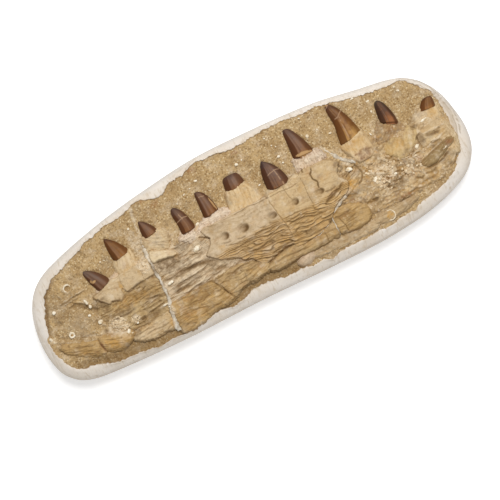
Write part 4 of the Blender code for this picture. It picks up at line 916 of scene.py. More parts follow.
def stain_marks(x, y):
    """How strongly each stain, the painted shade of the shade ovals among them, colours each place, with an
    uneven edge.
    """
    uneven = 0.35 * layers(x, y, 6.0, 3, 71)
    marks = {}
    for name, spots in STAINS.items():
        marks[name] = np.zeros_like(x)
        for *spot, strength in spots:
            near = 1 - smooth(0.45, 1.25, oval(x, y, *spot) + uneven)
            marks[name] = np.maximum(marks[name], strength * near)
    wander = 0.8 * layers(x, y, 5, 3, 73)
    for line, half_wide, strength in SMEARS:
        away, _ = line_distance(line, x + wander, y + wander)
        smear = strength * smooth(1.6, 0.5, away / half_wide + uneven)
        marks["pale"] = np.maximum(marks["pale"], smear)
    return marks


def sawtooth(phase, pitch, broad=0.45):
    """Layers like peeled wood, which rise sharply and sink slowly towards higher phases.

    Gives their height, 0 to 1, and marks for the crease at their foot and for their crest.
    """
    t = phase - np.floor(phase)
    steep = max(0.14, 0.6 / pitch)
    height = np.where(t < steep, smooth(0, steep, t), 1 - (t - steep) / (1 - steep))
    foot = np.exp(-((np.minimum(t, 1 - t) * pitch / broad) ** 2))
    return height, foot, np.exp(-(((t - steep) * pitch / 0.6) ** 2))


def layer_tone(phase, along, seed):
    """A shade of its own for each layer, 0 to 1, that also changes slowly along it."""
    return 0.5 + 0.5 * noise(along / 38, np.floor(phase) * 3.7 + 0.5, seed)


def bowl(u, v, steep):
    """How far out a place in a unit circle is, seen from the bottom of a bowl that lies off towards steep."""
    c, s = math.cos(steep), math.sin(steep)
    along, across = u * c + v * s - BOWL_BOTTOM, -u * s + v * c
    reach = np.maximum(np.hypot(along, across), 1e-6)
    cosine, sine = along / reach, across / reach
    rim = -BOWL_BOTTOM * cosine + np.sqrt(np.maximum(1 - (BOWL_BOTTOM * sine) ** 2, 0))
    return reach / rim, u * c + v * s


def ridged(x, y):
    """The rise of the traced ridges and their grooves, and marks for their crests and their grooves."""
    rise, crest, groove = np.zeros_like(x), np.zeros_like(x), np.zeros_like(x)
    wander = 0.5 * layers(x, y, 5.0, 2, 81)
    uneven = 0.75 + 0.5 * noise(x / 7, y / 5, 82)
    for line, width, high in RIDGES:
        near = near_box(line, 7, x, y)
        if near.any():
            at_x, at_y = (x + wander)[near], (y + wander)[near]
            away, along = line_distance(line, at_x, at_y)
            fade = smooth(-0.02, 0.15, along) * smooth(1.02, 0.85, along) * uneven[near]
            bump = fade * np.exp(-((away / width) ** 2))
            below, _ = line_distance(line, at_x + 0.3 * width, at_y + 1.75 * width)
            dip = fade * np.exp(-((below / (0.75 * width)) ** 2))
            rise[near] += high * bump - 0.7 * high * dip
            crest[near] = np.maximum(crest[near], bump)
            groove[near] = np.maximum(groove[near], dip * min(0.5 + 0.3 * high, 0.9))
    for *spot, depth in HOLLOWS:
        inside = 1 - smooth(0.35, 1.15, oval(x, y, *spot))
        rise = rise - depth * inside
        groove = np.maximum(groove, 0.22 * max(depth, 0) * inside)
    return rise, crest, groove


def carve(x, y, height, cuts):
    """Cuts cracks or furrows and the nutrient openings, and tells how dark each place is for it: painted
    shade in the furrows and openings, a dark line in the cracks.
    """
    cut, dark = np.zeros_like(x), np.zeros_like(x)
    wander_x, wander_y = 0.5 * layers(x, y, 4.0, 2, 31), 0.5 * layers(x, y, 4.0, 2, 37)
    for line, width, depth in cuts:
        near = near_box(line, 5, x, y)
        if near.any():
            away, along = line_distance(line, (x + wander_x)[near], (y + wander_y)[near])
            fade = smooth(0, 0.12, along) * smooth(1, 0.88, along)
            groove = np.exp(-((away / (width * (0.4 + 0.6 * fade))) ** 2))
            cut[near] = np.maximum(cut[near], depth * groove)
            darkest = min(0.55 + 0.25 * depth, 1.1)
            dark[near] = np.maximum(dark[near], darkest * groove * (0.3 + 0.7 * fade))
    for spot_x, spot_y, half_long, half_wide, steep, depth in FORAMINA:
        u, v = (x - spot_x) / half_long, (y - spot_y) / half_wide
        ratio, towards = bowl(u, v, math.radians(steep))
        cut = np.maximum(cut, depth * smooth(1.0, 0.05, ratio))
        shadow = smooth(1.02, 0.45, ratio) * (0.22 + 0.95 * smooth(-0.15, 0.75, towards))
        dark = np.maximum(dark, shadow * min(0.2 * depth, 1))
    return height - cut, dark


def grain_zone(x, y):
    """Where the two middle bones are folded like wood grain below their smooth upper half."""
    border = -17.5 + 1.6 * np.sin(x / 17) - 5.0 * smooth(-30, -50, x)
    border = border + np.where(x > 92, (x - 92) * 0.1, 0)
    uneven_y = y + 1.5 * noise(x / 9, y / 9, 11)
    return smooth(border + 2.0, border - 3.5, uneven_y) * smooth(-60, -46, x)


def wood_grain(x, y):
    """The wavy folds of that zone: fine above and broader below; their height, creases and crests."""
    sway = 3.2 * noise(x / 42, y / 22, 5) + 1.5 * noise(x / 16, y / 9, 6)
    sway = sway + 0.45 * noise(x / 6, y / 3, 7)
    tilt = y + 0.06 * x + sway + 4.0 * np.sin((x - 10) / 31) * smooth(-22, -50, y)
    low = smooth(-27, -42, y)
    total, creases, crests = np.zeros_like(x), np.zeros_like(x), np.zeros_like(x)
    for pitch, rise, share, seed in ((3.2, 1.05, 1 - low, 9), (4.8, 1.5, low, 10)):
        phase = tilt / pitch + 0.9 * noise(x / 25, y / 8, seed)
        layer, foot, crest = sawtooth(phase, pitch, 0.15 * pitch)
        own = np.clip(1.0 + 0.8 * noise(x / 19, np.floor(phase) * 2.3 + 0.4, seed + 4), 0.2, 1.5)
        total = total + 1.15 * share * rise * own * (layer - 0.4)
        creases = np.maximum(creases, 1.1 * share * own * foot)
        crests = np.maximum(crests, share * own * crest)
    broad, narrow = lenses(x, tilt, 30, 6.2, 23), lenses(x, tilt, 14, 2.6, 24)
    total = total + (0.4 + 0.6 * low) * (broad - 0.8) + 0.35 * (narrow - 0.8)
    creases = np.maximum(creases, (0.2 + 0.3 * low) * (1 - broad) + 0.22 * (1 - narrow))
    for spot in WORN:
        creases = creases * (0.1 + 0.9 * smooth(0.7, 1.4, oval(x, y, *spot)))
    return total, np.clip(creases, 0, 1), crests


def crumbled(x, y, seed):
    """Bone broken to bits and stuck together again: rounded lumps of several sizes."""
    bent_x = x + 1.8 * noise(x / 6, y / 6, seed)
    bent_y = y + 1.8 * noise(x / 6, y / 6, seed + 1)
    lumps = 1.5 * pebbles(bent_x, bent_y, 10.5, seed + 2) + 0.9 * pebbles(bent_x, bent_y, 5.2, seed + 3)
    ridges = 1.2 * lenses(x + 0.4 * y, y - 0.4 * x, 9, 6, seed + 5)
    return lumps + 0.4 * pebbles(x, y, 2.4, seed + 4) + ridges + 1.0 * layers(x, y, 15, 3, seed + 6) - 2.2


def relief_surface(piece, loop, seed, x, y, away, shade):
    """The height of a relief piece's top, its marks, and each place along and across its fibres."""
    turn = math.radians(piece.grain)
    c, s = math.cos(turn), math.sin(turn)
    across_edge = -loop[:, 0] * s + loop[:, 1] * c
    middle, half = (across_edge.max() + across_edge.min()) / 2, np.ptp(across_edge) / 2
    middle_x = (loop[:, 0].max() + loop[:, 0].min()) / 2
    drop = max((piece.top - 0.5 * piece.round - APRON_FOOT) / APRON, 0.8)
    folded = piece.name in ("jaw_middle", "jaw_front_middle")
    has_ridges = piece.name in RIDGED
    crumbly = piece.crumb > 1
    u, v = x * c + y * s, -x * s + y * c - middle

    # The layers, wavy along the fibres and calm in places
    sway = 4.5 * noise(u / 58, v / 30, seed) + 1.8 * noise(u / 17, v / 8, seed + 1)
    sway = sway + 0.6 * noise(u / 6, v / 3, seed + 12)
    across = v + sway
    calm = 0.75 * smooth(0.1, 0.7, noise(u / 38, v / 12, seed + 9)) * min(piece.rise, 1)
    for spot in DUSTED + PEBBLY:
        calm = np.maximum(calm, 0.9 * (1 - smooth(0.6, 1.2, oval(x, y, *spot))))
    strength = np.clip(0.75 + 0.9 * noise(u / 30, v / 9, seed + 2), 0.05, 1.8) * (1 - calm)
    pitch = piece.pitch
    phase = across / pitch
    layer, foot, crest = sawtooth(phase, pitch)
    broad = 1 - (1 - calm) * (1 - lenses(u, across, 5.0 * pitch, 1.1 * pitch, seed + 20))
    narrow = 1 - (1 - calm) * (1 - lenses(u, v + 0.6 * sway, 2.4 * pitch, 0.42 * pitch, seed + 21))
    # Its lens terms leave the creases darker than the lenses, as painted shade
    tone = 0.45 * layer_tone(phase, u, seed + 14) + 0.35 * broad + 0.2 * narrow
    fibre = noise(u / 13, across / 1.2, seed + 3) + 0.7 * noise(u / 7, across / 0.7, seed + 4)
    fibre = piece.fibre * fibre

    # The crumbs, and the broken and the pebbly places
    broken, pebbly = np.zeros_like(x), np.zeros_like(x)
    for places, spots in ((broken, BROKEN), (pebbly, PEBBLY)):
        for spot in spots:
            inside = 1 - smooth(0.7, 1.25, oval(x, y, *spot) + 0.25 * layers(x, y, 9, 2, 83))
            np.maximum(places, inside, out=places)
    if crumbly:
        bits = crumbled(x, y, seed + 30)
        crumb = piece.crumb * (0.22 + 0.88 * broken) * bits
        seams = broken * np.exp(-((layers(x, y, 12, 3, 88) / 0.085) ** 2))
        crumb = crumb + 0.9 * layers(x, y, 17, 3, seed + 33) + 0.9 * seams
    else:
        rough = 0.5 + 0.8 * smooth(-0.5, 0.6, layers(x, y, 16, 2, seed + 8))
        grains = 1.4 * pebbles(x, y, 4.2, seed + 5) + 0.8 * pebbles(x, y, 1.9, seed + 6) - 1.0
        crumb = piece.crumb * rough * grains
    if has_ridges:
        stones = pebbles(x, y, 3.2, 84)
        crumb = crumb + pebbly * (1.7 * stones + 0.8 * pebbles(x, y, 1.8, 85) - 0.9)
        gaps = pebbly * smooth(0.42, 0.08, stones)

    # Folds, creases between them and crests on them
    folds = 0.6 * strength * (layer - 0.5) + 0.9 * (broad - 0.8) + 0.45 * (narrow - 0.8)
    fine = piece.rise * folds + fibre + crumb
    creases = np.maximum(0.55 * (1 - broad), 0.32 * (1 - narrow))
    creases = np.maximum(0.55 * foot * strength, creases)
    share = min(piece.rise / 1.1, 1)
    creases, crests = creases * share, 0.8 * crest * np.clip(strength, 0, 1) * share
    deep = np.zeros_like(x)
    if folded:
        deep = grain_zone(x, y)
        grain, grain_creases, grain_crests = wood_grain(x, y)
        fine = fine + deep * grain
        creases = np.maximum(creases, deep * grain_creases)
        crests = np.maximum(crests, deep * grain_crests)

    # The whole height, down over the rounded and broken edge
    lump = piece.lump * layers(x, y, 19, 3, seed + 7)
    bulge = piece.bulge * (1 - np.clip(v / half, -1, 1) ** 2)
    height = piece.top + bulge + lump + fine + piece.lean * (x - middle_x)
    rounded = 0.5 * piece.round * np.clip(1 - away / piece.round, 0, 1) ** 2
    height = height - rounded - drop * np.maximum(-away, 0)
    height = height + 0.55 * smooth(0.2, -0.9, away) * layers(x, y, 2.4, 2, seed + 18)
    if has_ridges:
        rise, crest, groove = ridged(x, y)
        inner = smooth(-0.5, 1.5, away)
        height = height + inner * rise
        crests = np.maximum(crests, inner * crest)
        crests = np.maximum(crests, 0.8 * pebbly * smooth(0.55, 0.95, stones))
        creases = np.maximum(creases, np.maximum(inner * groove, 0.7 * gaps))
    if piece.name == "jaw_middle":
        height = height - 1.6 * smooth(-49, -62, x)
    height, carved = carve(x, y, height, CRACKS + FURROWS)
    height = np.minimum(height, HIGHEST)

    # Painted shadows in the lee of edges, and painted shade with some dirt in creases, low between the crumbs
    # and on the broken edge's slope
    if piece.top < 50.25 and piece.name not in ("front_plate", "front_splinter"):
        for line, width, shade_and_dirt in LEE_SHADOWS:
            lee, _ = line_distance(line, x, y)
            creases = np.maximum(creases, shade_and_dirt * np.exp(-((lee / width) ** 2)))
    sunk = 0.8 * smooth(-0.25, -1.1, (fibre + crumb) / max(piece.crumb * 1.3, 1))
    # Painted shade on the broken edge's slope, strongest where it faces away from the light
    shaded = 0.08 + (0.35 if piece.name == "jaw_middle" else 0.62) * shade
    wall = smooth(0.4, -1.2, away) * shaded
    hollow = np.maximum(np.maximum((0.85 + 0.15 * deep) * creases, carved), wall)
    hollow = np.clip(hollow + 0.5 * sunk, 0, 1)
    if crumbly:
        crests = np.maximum(crests, (0.15 + 0.85 * broken) * smooth(0.1, 1.1, bits))
        crests = np.maximum(crests, seams)
        hollow = hollow * (1 - 0.7 * seams)
    # Painted highlight: the rim of the broken edge and the crests are marked lighter
    edge = 0.75 * smooth(1.8, 0.2, away) * smooth(-0.9, -0.1, away)
    edge = np.maximum(edge, crests * (1 - hollow))
    return height, {"hollow": hollow, "edge": edge, "tone": tone, "deep": deep}, u, across


def bone_stains(x, y, marks, crumbly, seed):
    """A bone's stains: the placed ones, a mottling of its own, and more of it where it is crumbly."""
    stains = stain_marks(x, y)

    def lay(name, strength):
        stains[name] = np.maximum(stains[name], strength)

    share = 1.5 if crumbly else 1.0
    for name, (most, size, number) in MOTTLE.items():
        lay(name, share * most * smooth(0.15, 1.0, layers(x, y, size / share**2, 4, seed + number)))
    if crumbly:
        golden = smooth(-0.3, 0.6, layers(x, y, 12, 2, 86))
        lay("ochre", 0.9 * smooth(0.05, 0.5, marks["hollow"]) * golden)
        # Dark patches over crumbly bone, laid in with the shade marks
        lay("shade", 0.6 * smooth(0.0, 0.8, layers(x, y, 18, 3, 89)))
        # Crumbly bone is paler on its crests and rims: pale bits, and painted highlight
        lay("pale", 0.95 * marks["edge"] * smooth(0.55, -0.3, layers(x, y, 14, 2, 87)))
    stains["grey"] = stains["grey"] * (1 - 0.85 * marks["deep"])
    return stains


def make_relief(piece, seed):
    """A bone plate, root or crust: a fine grid trimmed beyond its broken outline, raised and walled."""
    loop = loop_curve(piece.outline, 4)
    bm = bmesh.new()
    spread_grid(bm, loop, BONE_CELL, APRON + 2)

    def edge_here():
        x, y = vertex_arrays(bm)
        away, near_x, near_y = measured(loop, piece.bite, BITE_SEED, x, y)
        return x, y, away, near_x, near_y, *outward(away, near_x, near_y, x, y)

    _, _, away, near_x, near_y, out_x, out_y = edge_here()
    trim(bm, BONE_CELL, away + APRON, near_x + APRON * out_x, near_y + APRON * out_y)
    x, y, away, _, _, out_x, out_y = edge_here()
    # A side that faces away from the light is the darkest and gets the most painted shade
    shade = np.clip(-out_x * LIGHT_TOWARDS[0] - out_y * LIGHT_TOWARDS[1] + 0.1, 0, 1)
    height, marks, along, across = relief_surface(piece, loop, seed, x, y, away, shade)
    set_heights(bm, height)
    keep_marks(bm, {**marks, **bone_stains(x, y, marks, piece.crumb > 1, seed)})
    keep_fibres(bm, along, across)
    wall_down(bm, open_edges(bm), [(POCKET_FLOOR, 0)])
    return finished(f"{piece.name}_surface", bm, piece.finish, piece.node)


def outward(away, near_x, near_y, x, y):
    """The direction out of a loop at each place, from its distance and its nearest point on the loop."""
    reach = np.maximum(np.abs(away), 1e-6) * np.where(away > 0, 1, -1)
    return (near_x - x) / reach, (near_y - y) / reach


def bone_cover(x, y):
    """How far inside the nearest bone each place of the rock is; negative outside all of them."""
    deepest = np.full(x.shape, -60.0)
    for piece in RELIEFS:
        loop = loop_curve(piece.outline, 3)
        near = near_box(loop, 14, x, y)
        away, _, _ = measured(loop, piece.bite, BITE_SEED, x[near], y[near])
        deepest[near] = np.maximum(deepest[near], away)
    return deepest


def crown_distance(x, y):
    """How far each place is from the nearest tooth crown."""
    nearest = np.full(x.shape, 60.0)
    for tooth in TEETH:
        loop = np.array(tooth.left + tooth.right[::-1], float)
        near = (np.abs(x - loop[:, 0].mean()) < 40) & (np.abs(y - loop[:, 1].mean()) < 50)
        away, _, _ = edge_of(loop, x[near], y[near])
        nearest[near] = np.minimum(nearest[near], -away)
    return nearest


def disc_rise(x, y):
    """How high the round mass stands."""
    return 3.0 * np.sqrt(np.clip(1 - oval(x, y, *DISC) ** 2, 0, 1))


def left_end_forms(x, y):
    """The round mass, the rods and the rings that show in the rock at the jaw's rear end."""
    rise = disc_rise(x, y) * (1 + 0.35 * layers(x, y, 9, 3, 44))
    groove, _ = line_distance(DISC_GROOVE, x + 0.8 * noise(x / 6, y / 6, 4), y)
    groove = 3.4 * np.exp(-((groove / 2.8) ** 2))
    recess = 2.6 * (1 - smooth(0.5, 1.1, oval(x, y, *RECESS) + 0.2 * layers(x, y, 8, 2, 45)))
    groove = np.maximum(groove, recess)
    wander = 0.7 * layers(x, y, 5, 2, 3)
    for line, width, high in RODS:
        away, _ = line_distance(line, x + wander, y + wander)
        below, _ = line_distance(line, x + wander + 0.8, y + wander + 1.9)
        rise = rise + high * np.exp(-((away / width) ** 2))
        groove = groove + 0.8 * high * np.exp(-((below / width) ** 2))
    for spot_x, spot_y, radius, high in RINGS:
        ring = np.hypot(x - spot_x + wander, y - spot_y) / radius
        rise = rise + high * np.exp(-(((ring - 1) / 0.24) ** 2)) - 0.8 * high * np.exp(-((ring / 0.7) ** 2))
    return rise - groove


def make_rock():
    """The sandy rock: grains, swells and scrapes, sand banked up to the bones, pockets under them."""
    loop = loop_curve(ROCK_EDGE, 2)
    bm = bmesh.new()
    spread_grid(bm, loop, ROCK_CELL, 3.0)
    x, y = vertex_arrays(bm)
    away, near_x, near_y = measured(loop, ROCK_BITE, ROCK_SEED, x, y)
    # Its edge is moved out to run on under the rim
    reach = np.maximum(np.hypot(x - near_x, y - near_y), 1e-6)
    out = np.where(away > 0, -UNDER_RIM, UNDER_RIM)
    near_x, near_y = near_x + out * (x - near_x) / reach, near_y + out * (y - near_y) / reach
    away = trim(bm, ROCK_CELL, away + UNDER_RIM, near_x, near_y)
    x, y = vertex_arrays(bm)
    cover = bone_cover(x, y)
    crowns = crown_distance(x, y)

    # Swells, scrapes, grains and pits, and sand banked up to the bones
    coarse = 0.9 * layers(x, y, 34, 3, 201) + 0.75 * layers(x, y, 10, 3, 202)
    calm = smooth(-200, -214, x)
    scraped = 0.36 * noise((x + 0.3 * y) / 11, (y - 0.3 * x) / 1.8, 203)
    grain = 0.85 * pebbles(x, y, 2.9, 204) + 0.55 * pebbles(x, y, 1.6, 205)
    grain = (grain + 0.32 * noise(x / 0.9, y / 0.9, 206) - 0.80) * (0.85 - 0.35 * calm)
    pits = -1.4 * smooth(0.58, 0.95, noise(x / 3.4, y / 3.4, 207))
    above = smooth(-1.0, 1.0, bone_cover(x, y - 2.0) - cover)
    uneven = 0.7 + 0.5 * noise(x / 9, y / 9, 208)
    banked = (1.1 + 1.9 * above) * np.exp(np.minimum(cover, 0) / 2.6) * uneven
    banked = banked - 1.6 * np.clip(cover, 0, 3)
    # The strip along the bottom lies lower, and is darkened below as painted shade
    low_side_shade = smooth(-60, -76, y) * smooth(60, 20, x)
    rubble = smooth(-183, -206, x) * (1.1 * layers(x, y, 11, 3, 212) + 0.9 * pebbles(x, y, 6.0, 213) - 0.4)
    height = ROCK_TOP - 0.3 + coarse + scraped + grain + pits + banked - 1.8 * low_side_shade
    forms = left_end_forms(x, y)
    height = height + forms + rubble
    height = height - 0.9 * np.exp(-((np.maximum(crowns, 0) / 1.3) ** 2)) * smooth(3, -1, cover)
    height = np.minimum(height, ROCK_TOP - 0.2 + 0.45 * away + 0.5 * coarse + grain)
    height = height - 0.8 * (1 - smooth(0, 4.5, away)) * smooth(0, 30, y)
    height, _ = carve(x, y, height, CRACKS)

    # Painted shade with some dirt between the grains and in the hollows; painted shade over the low strip
    # along the bottom, in the groove and the recess by the round mass and beside the rim; pale dust, and a
    # painted highlight on the raised forms
    sunk, _ = line_distance(DISC_GROOVE, x, y)
    sunk = 0.34 * np.exp(-((sunk / 2.8) ** 2)) + 0.4 * (1 - smooth(0.6, 1.1, oval(x, y, *RECESS)))
    hollow = smooth(0.1, -0.8, grain + pits + 0.5 * scraped) * (1 - 0.5 * calm) + 0.75 * low_side_shade + sunk
    hollow = hollow + 0.4 * smooth(0, -1.2, rubble) + 0.30 * smooth(-0.2, -1.6, forms)
    hollow = np.clip(hollow, 0, 1)
    # Painted shade beside the rim, strongest along its upper left, and at the left end a dip with painted
    # shade
    border = (1 - smooth(1.0, 3.2, away)) * (0.25 + 0.6 * smooth(0, 20, y) * smooth(160, 60, x))
    left_rim_dip_and_shade = (1 - smooth(3.0, 7.5, away)) * smooth(-240, -262, x) * smooth(-20, -8, y)
    height = height - 0.9 * left_rim_dip_and_shade
    border = np.maximum(border, 1.2 * left_rim_dip_and_shade)
    set_heights(bm, height)
    stains = stain_marks(x, y)
    dust_and_highlight = 0.35 * smooth(-7, -1, cover) * smooth(-0.3, 0.8, layers(x, y, 7, 3, 210))
    dust_and_highlight = 0.55 * smooth(-0.1, 1.1, layers(x, y, 17, 4, 209)) + dust_and_highlight
    # A painted highlight on the raised rods, rings and rubble at the rear end, laid in with the pale dust
    dust_and_highlight = np.maximum(dust_and_highlight, 0.50 * smooth(0.6, 1.7, forms - disc_rise(x, y) + 0.6 * rubble) * calm)
    stains["pale"] = np.maximum(stains["pale"], dust_and_highlight)
    greyish = 0.6 * smooth(0.2, 1.3, layers(x, y, 21, 4, 211))
    stains["grey"] = np.maximum(stains["grey"], greyish)
    keep_marks(bm, {"hollow": hollow, "edge": border, **stains})
    keep_fibres(bm, x, y)
    buried = [v for v, d in zip(bm.verts, cover) if d > 3.0]
    bmesh.ops.delete(bm, geom=buried, context="VERTS")
    bmesh.ops.delete(bm, geom=[v for v in bm.verts if not v.link_faces], context="VERTS")

    # Every hole over a bone becomes a pocket, and the outer edge a wall
    rings = boundary_loops(bm)
    outer = max(rings, key=len)
    for ring in rings:
        if ring is not outer:
            wall_down(bm, ring, [(POCKET_FLOOR - 0.2, 0)])
    wall_down(bm, outer, [(TRAY_FLOOR, 0)])
    return finished("sandy_rock", bm, "rock", "rock_matrix")


def boundary_loops(bm):
    """The open edges of a mesh, sorted into closed rings."""
    left = {e for e in bm.edges if e.is_boundary}
    rings = []
    while left:
        ring, front = set(), {left.pop()}
        while front:
            ring |= front
            front = {n for e in front for v in e.verts for n in v.link_edges if n in left} - ring
            left -= front
        rings.append(list(ring))
    return rings


def make_crown(tooth):
    """An enamel crown: a sphere's rings laid between its two edges, domed, ridged and faceted."""
    bm = bmesh.new()
    bmesh.ops.create_uvsphere(bm, u_segments=CROWN_AROUND, v_segments=CROWN_ALONG, radius=1)
    places = places_of(bm.verts)
    around = np.arctan2(places[:, 1], places[:, 0])
    down = np.arccos(np.clip(-places[:, 2], -1, 1)) / math.pi
    left, right = (line_curve(edge, 8) for edge in (tooth.left, tooth.right))
    length = np.hypot(*(left[-1] + right[-1] - left[0] - right[0])) / 2

    # The first rings close the foot, which lies hidden under the root
    foot, sunk = 0.05, -3.0 / length
    share = sunk + (1 - sunk) * np.clip((down - foot) / (1 - foot), 0, 1)
    close = np.where(down < foot, np.sin(np.clip(down / foot, 0, 1) * math.pi / 2), 1.0)
    blunt = np.clip((share - 1 + tooth.closing) / tooth.closing, 0, 1)
    close = close * np.sqrt(np.clip(1 - blunt**2.2, 0, 1))
    steps = np.linspace(0, 1, len(left))
    at = np.clip(share, 0, 1)
    ends = [np.interp(at, steps, edge[:, k]) for edge in (left, right) for k in (0, 1)]
    middle_x, middle_y = (ends[0] + ends[2]) / 2, (ends[1] + ends[3]) / 2
    side_x, side_y = (ends[2] - ends[0]) / 2, (ends[3] - ends[1]) / 2
    start = (left[0] + right[0] - left[2] - right[2]) / 2
    start /= np.hypot(*start)
    under = np.minimum(share, 0) * -length
    middle_x, middle_y = middle_x + start[0] * under, middle_y + start[1] * under

    # The dome, with its ridge, facets and the hollow beside the ridge
    half = np.hypot(side_x, side_y)
    across = np.cos(around)
    ridge_at = math.cos(math.pi * tooth.ridge)
    ridge = np.exp(-(((across - ridge_at) / 0.07) ** 2)) * smooth(1.0, 0.8, share)
    x = middle_x + side_x * across * close
    y = middle_y + side_y * across * close
    dome = np.clip(1 - across**2, 0, 1) ** CROWN_DOME
    facets = 0.006 * np.cos(across * 14 + tooth.number)
    facets = facets + 0.010 * noise(across * 9, share * 2, tooth.number)
    hollows = 0.10 * np.exp(-(((across - ridge_at - 0.34) / 0.22) ** 2))
    swell = np.clip(dome * (1 + facets + 0.09 * ridge - hollows), 0, None)
    # The enamel ends in a small step, so that its foot dips under the root
    dip = 1 - 0.55 * smooth(0.1, 1.3, np.maximum(under, 0))
    rise = CROWN_RISE * np.minimum(half * 1.08 + 0.6, CROWN_WIDEST) * close * dip
    below = -np.minimum(half, CROWN_DEEPEST) * close * dome
    z = ROCK_TOP - 0.6 + np.where(around > 0, rise * swell, below)

    crack, chip = np.zeros_like(x), np.zeros_like(x)
    shift_x, shift_y = 0.3 * layers(x, y, 3, 2, 77), 0.3 * layers(x, y, 3, 2, 78)
    for number, *line in CROWN_CRACKS:
        if number == tooth.number:
            away, _ = line_distance(pairs(*line), x + shift_x, y + shift_y)
            crack = np.maximum(crack, 1 - smooth(0.20, 0.60, away))
    for number, *spot in CROWN_CHIPS:
        if number == tooth.number:
            near = oval(x, y, *spot) + 0.8 * shift_x
            chip = np.maximum(chip, 1 - smooth(0.8, 1.05, near))
    z = z - np.where(around > 0, 0.22 * crack + 0.40 * chip, 0)
    for v, place in zip(bm.verts, zip(x, y, z)):
        v.co = place
    keep_marks(bm, {"share": share, "ridge": ridge, "crack": crack, "chip": chip, "beside": across})
    keep_fibres(bm, share * length, half * across)
    return finished(f"tooth_{tooth.number}_crown", bm, tooth.finish, tooth.bone)


def make_vein(name, places, seed):
    """A strip of filler paste along a line, low at its sides and lumpy on top."""
    line = line_curve(places, 6)
    directions = np.gradient(line[:, :2], axis=0)
    directions /= np.hypot(directions[:, 0], directions[:, 1])[:, None]
    normals = np.stack([-directions[:, 1], directions[:, 0]], axis=1)
    uneven = 1 + 0.45 * layers(line[:, 0], line[:, 1], 6, 2, seed)
    half = (line[:, 3] / 2 * uneven)[:, None]
    loop = np.vstack([line[:, :2] + normals * half, (line[:, :2] - normals * half)[::-1]])
    bm = bmesh.new()
    spread_grid(bm, loop, BONE_CELL)
    x, y = vertex_arrays(bm)
    away = trim(bm, BONE_CELL, *measured(loop, 1.3, seed, x, y))
    x, y = vertex_arrays(bm)
    _, along = line_distance(line[:, :2], x, y)
    top = np.interp(along, np.linspace(0, 1, len(line)), line[:, 2])
    fine = 0.30 * layers(x, y, 4, 3, seed + 1) + 0.25 * (pebbles(x, y, 2.0, seed + 2) - 0.5)
    set_heights(bm, top + fine + 0.5 * np.minimum(away, 1.4) - 0.7)
    # The paste's low places take painted shade and some dirt
    marks = {"hollow": smooth(0.1, -0.4, fine), "edge": 1 - smooth(0, 1, away)}
    keep_marks(bm, {**marks, **stain_marks(x, y)})
    keep_fibres(bm, x, y)
    wall_down(bm, open_edges(bm), [(ROCK_TOP - 2, 0.3), (POCKET_FLOOR, 0)], seed)
    return finished(name, bm, "filler")


def add_lump(bm, place, turn, sizes, subdivisions):
    """Adds a flattened ball, turned about its upright axis; gives back its vertices."""
    matrix = Matrix.Translation(place) @ Matrix.Rotation(turn, 4, "Z") @ Matrix.Diagonal((*sizes, 1))
    return bmesh.ops.create_icosphere(bm, subdivisions=subdivisions, radius=1, matrix=matrix)["verts"]


def add_shell_ring(bm, x, y, z, radius, thick, tip, raised):
    """Adds a tipped ring of shell with an uneven surface."""
    hinge = math.radians(raised - 90)
    tipped = Matrix.Rotation(math.radians(tip), 4, (math.cos(hinge), math.sin(hinge), 0))
    place = Matrix.Translation((x, y, z)) @ tipped
    middle = place.translation
    section = place @ Matrix.Translation((radius, 0, 0)) @ Matrix.Rotation(math.radians(90), 4, "X")
    made = bmesh.ops.create_circle(bm, segments=10, radius=thick, matrix=section)["verts"]
    ring = made + list({e for v in made for e in v.link_edges})
    axis = place.to_3x3() @ Vector((0, 0, 1))
    bmesh.ops.spin(bm, geom=ring, cent=middle, axis=axis, angle=math.tau, steps=44, use_merge=True)
    near = [v for v in bm.verts if (v.co - middle).length < radius + 2 * thick]
    at = places_of(near)
    for v, push in zip(near, 0.30 * thick * layers(at[:, 0], at[:, 1], 3.2, 3, 540)):
        v.co += (v.co - middle).normalized() * push
        v.co.z += push


def make_chips():
    """Shell scraps and pale bone chips, as flattened lumps half sunk where they lie."""
    bm = bmesh.new()
    for number, (x, y, z, half_long, half_wide, turn) in enumerate(CHIPS):
        sizes = (half_long, half_wide, 0.45 * half_wide + 0.35)
        made = add_lump(bm, (x, y, z), math.radians(turn), sizes, 3)
        at = places_of(made)
        lump = 0.55 * layers(at[:, 0], at[:, 1] + at[:, 2], 2.4, 3, 500 + number)
        for v, push in zip(made, lump):
            out = v.co - Vector((x, y, z))
            v.co += out * push * 0.45
    for ring in SHELL_RINGS:
        add_shell_ring(bm, *ring)
    return finished("pale_chips", bm, "shell")


def make_crumbs(name, ground, spots, count, largest, seed):
    """Pale crumbs, half sunk in the broken or pebbly places of a bone's surface."""
    rng = np.random.default_rng(seed)
    co = surface_places(ground)
    inside = np.zeros(len(co), bool)
    for spot in spots:
        inside |= (oval(co[:, 0], co[:, 1], *spot) < 0.95) & (co[:, 2] > ROCK_TOP + 1)
    bm = bmesh.new()
    for x, y, z in co[inside][rng.choice(int(inside.sum()), count, replace=False)]:
        half = largest * rng.uniform(0.45, 1.0) ** 2.2
        thick, turn = 0.45 * half + 0.25, rng.uniform(0, math.tau)
        place = Vector((x, y, min(z, HIGHEST - 1.3 * thick)))
        for v in add_lump(bm, place, turn, (half, half * rng.uniform(0.45, 0.9), thick), 2):
            v.co += (v.co - place) * rng.uniform(-0.22, 0.22)
    return finished(name, bm, "crumbs")


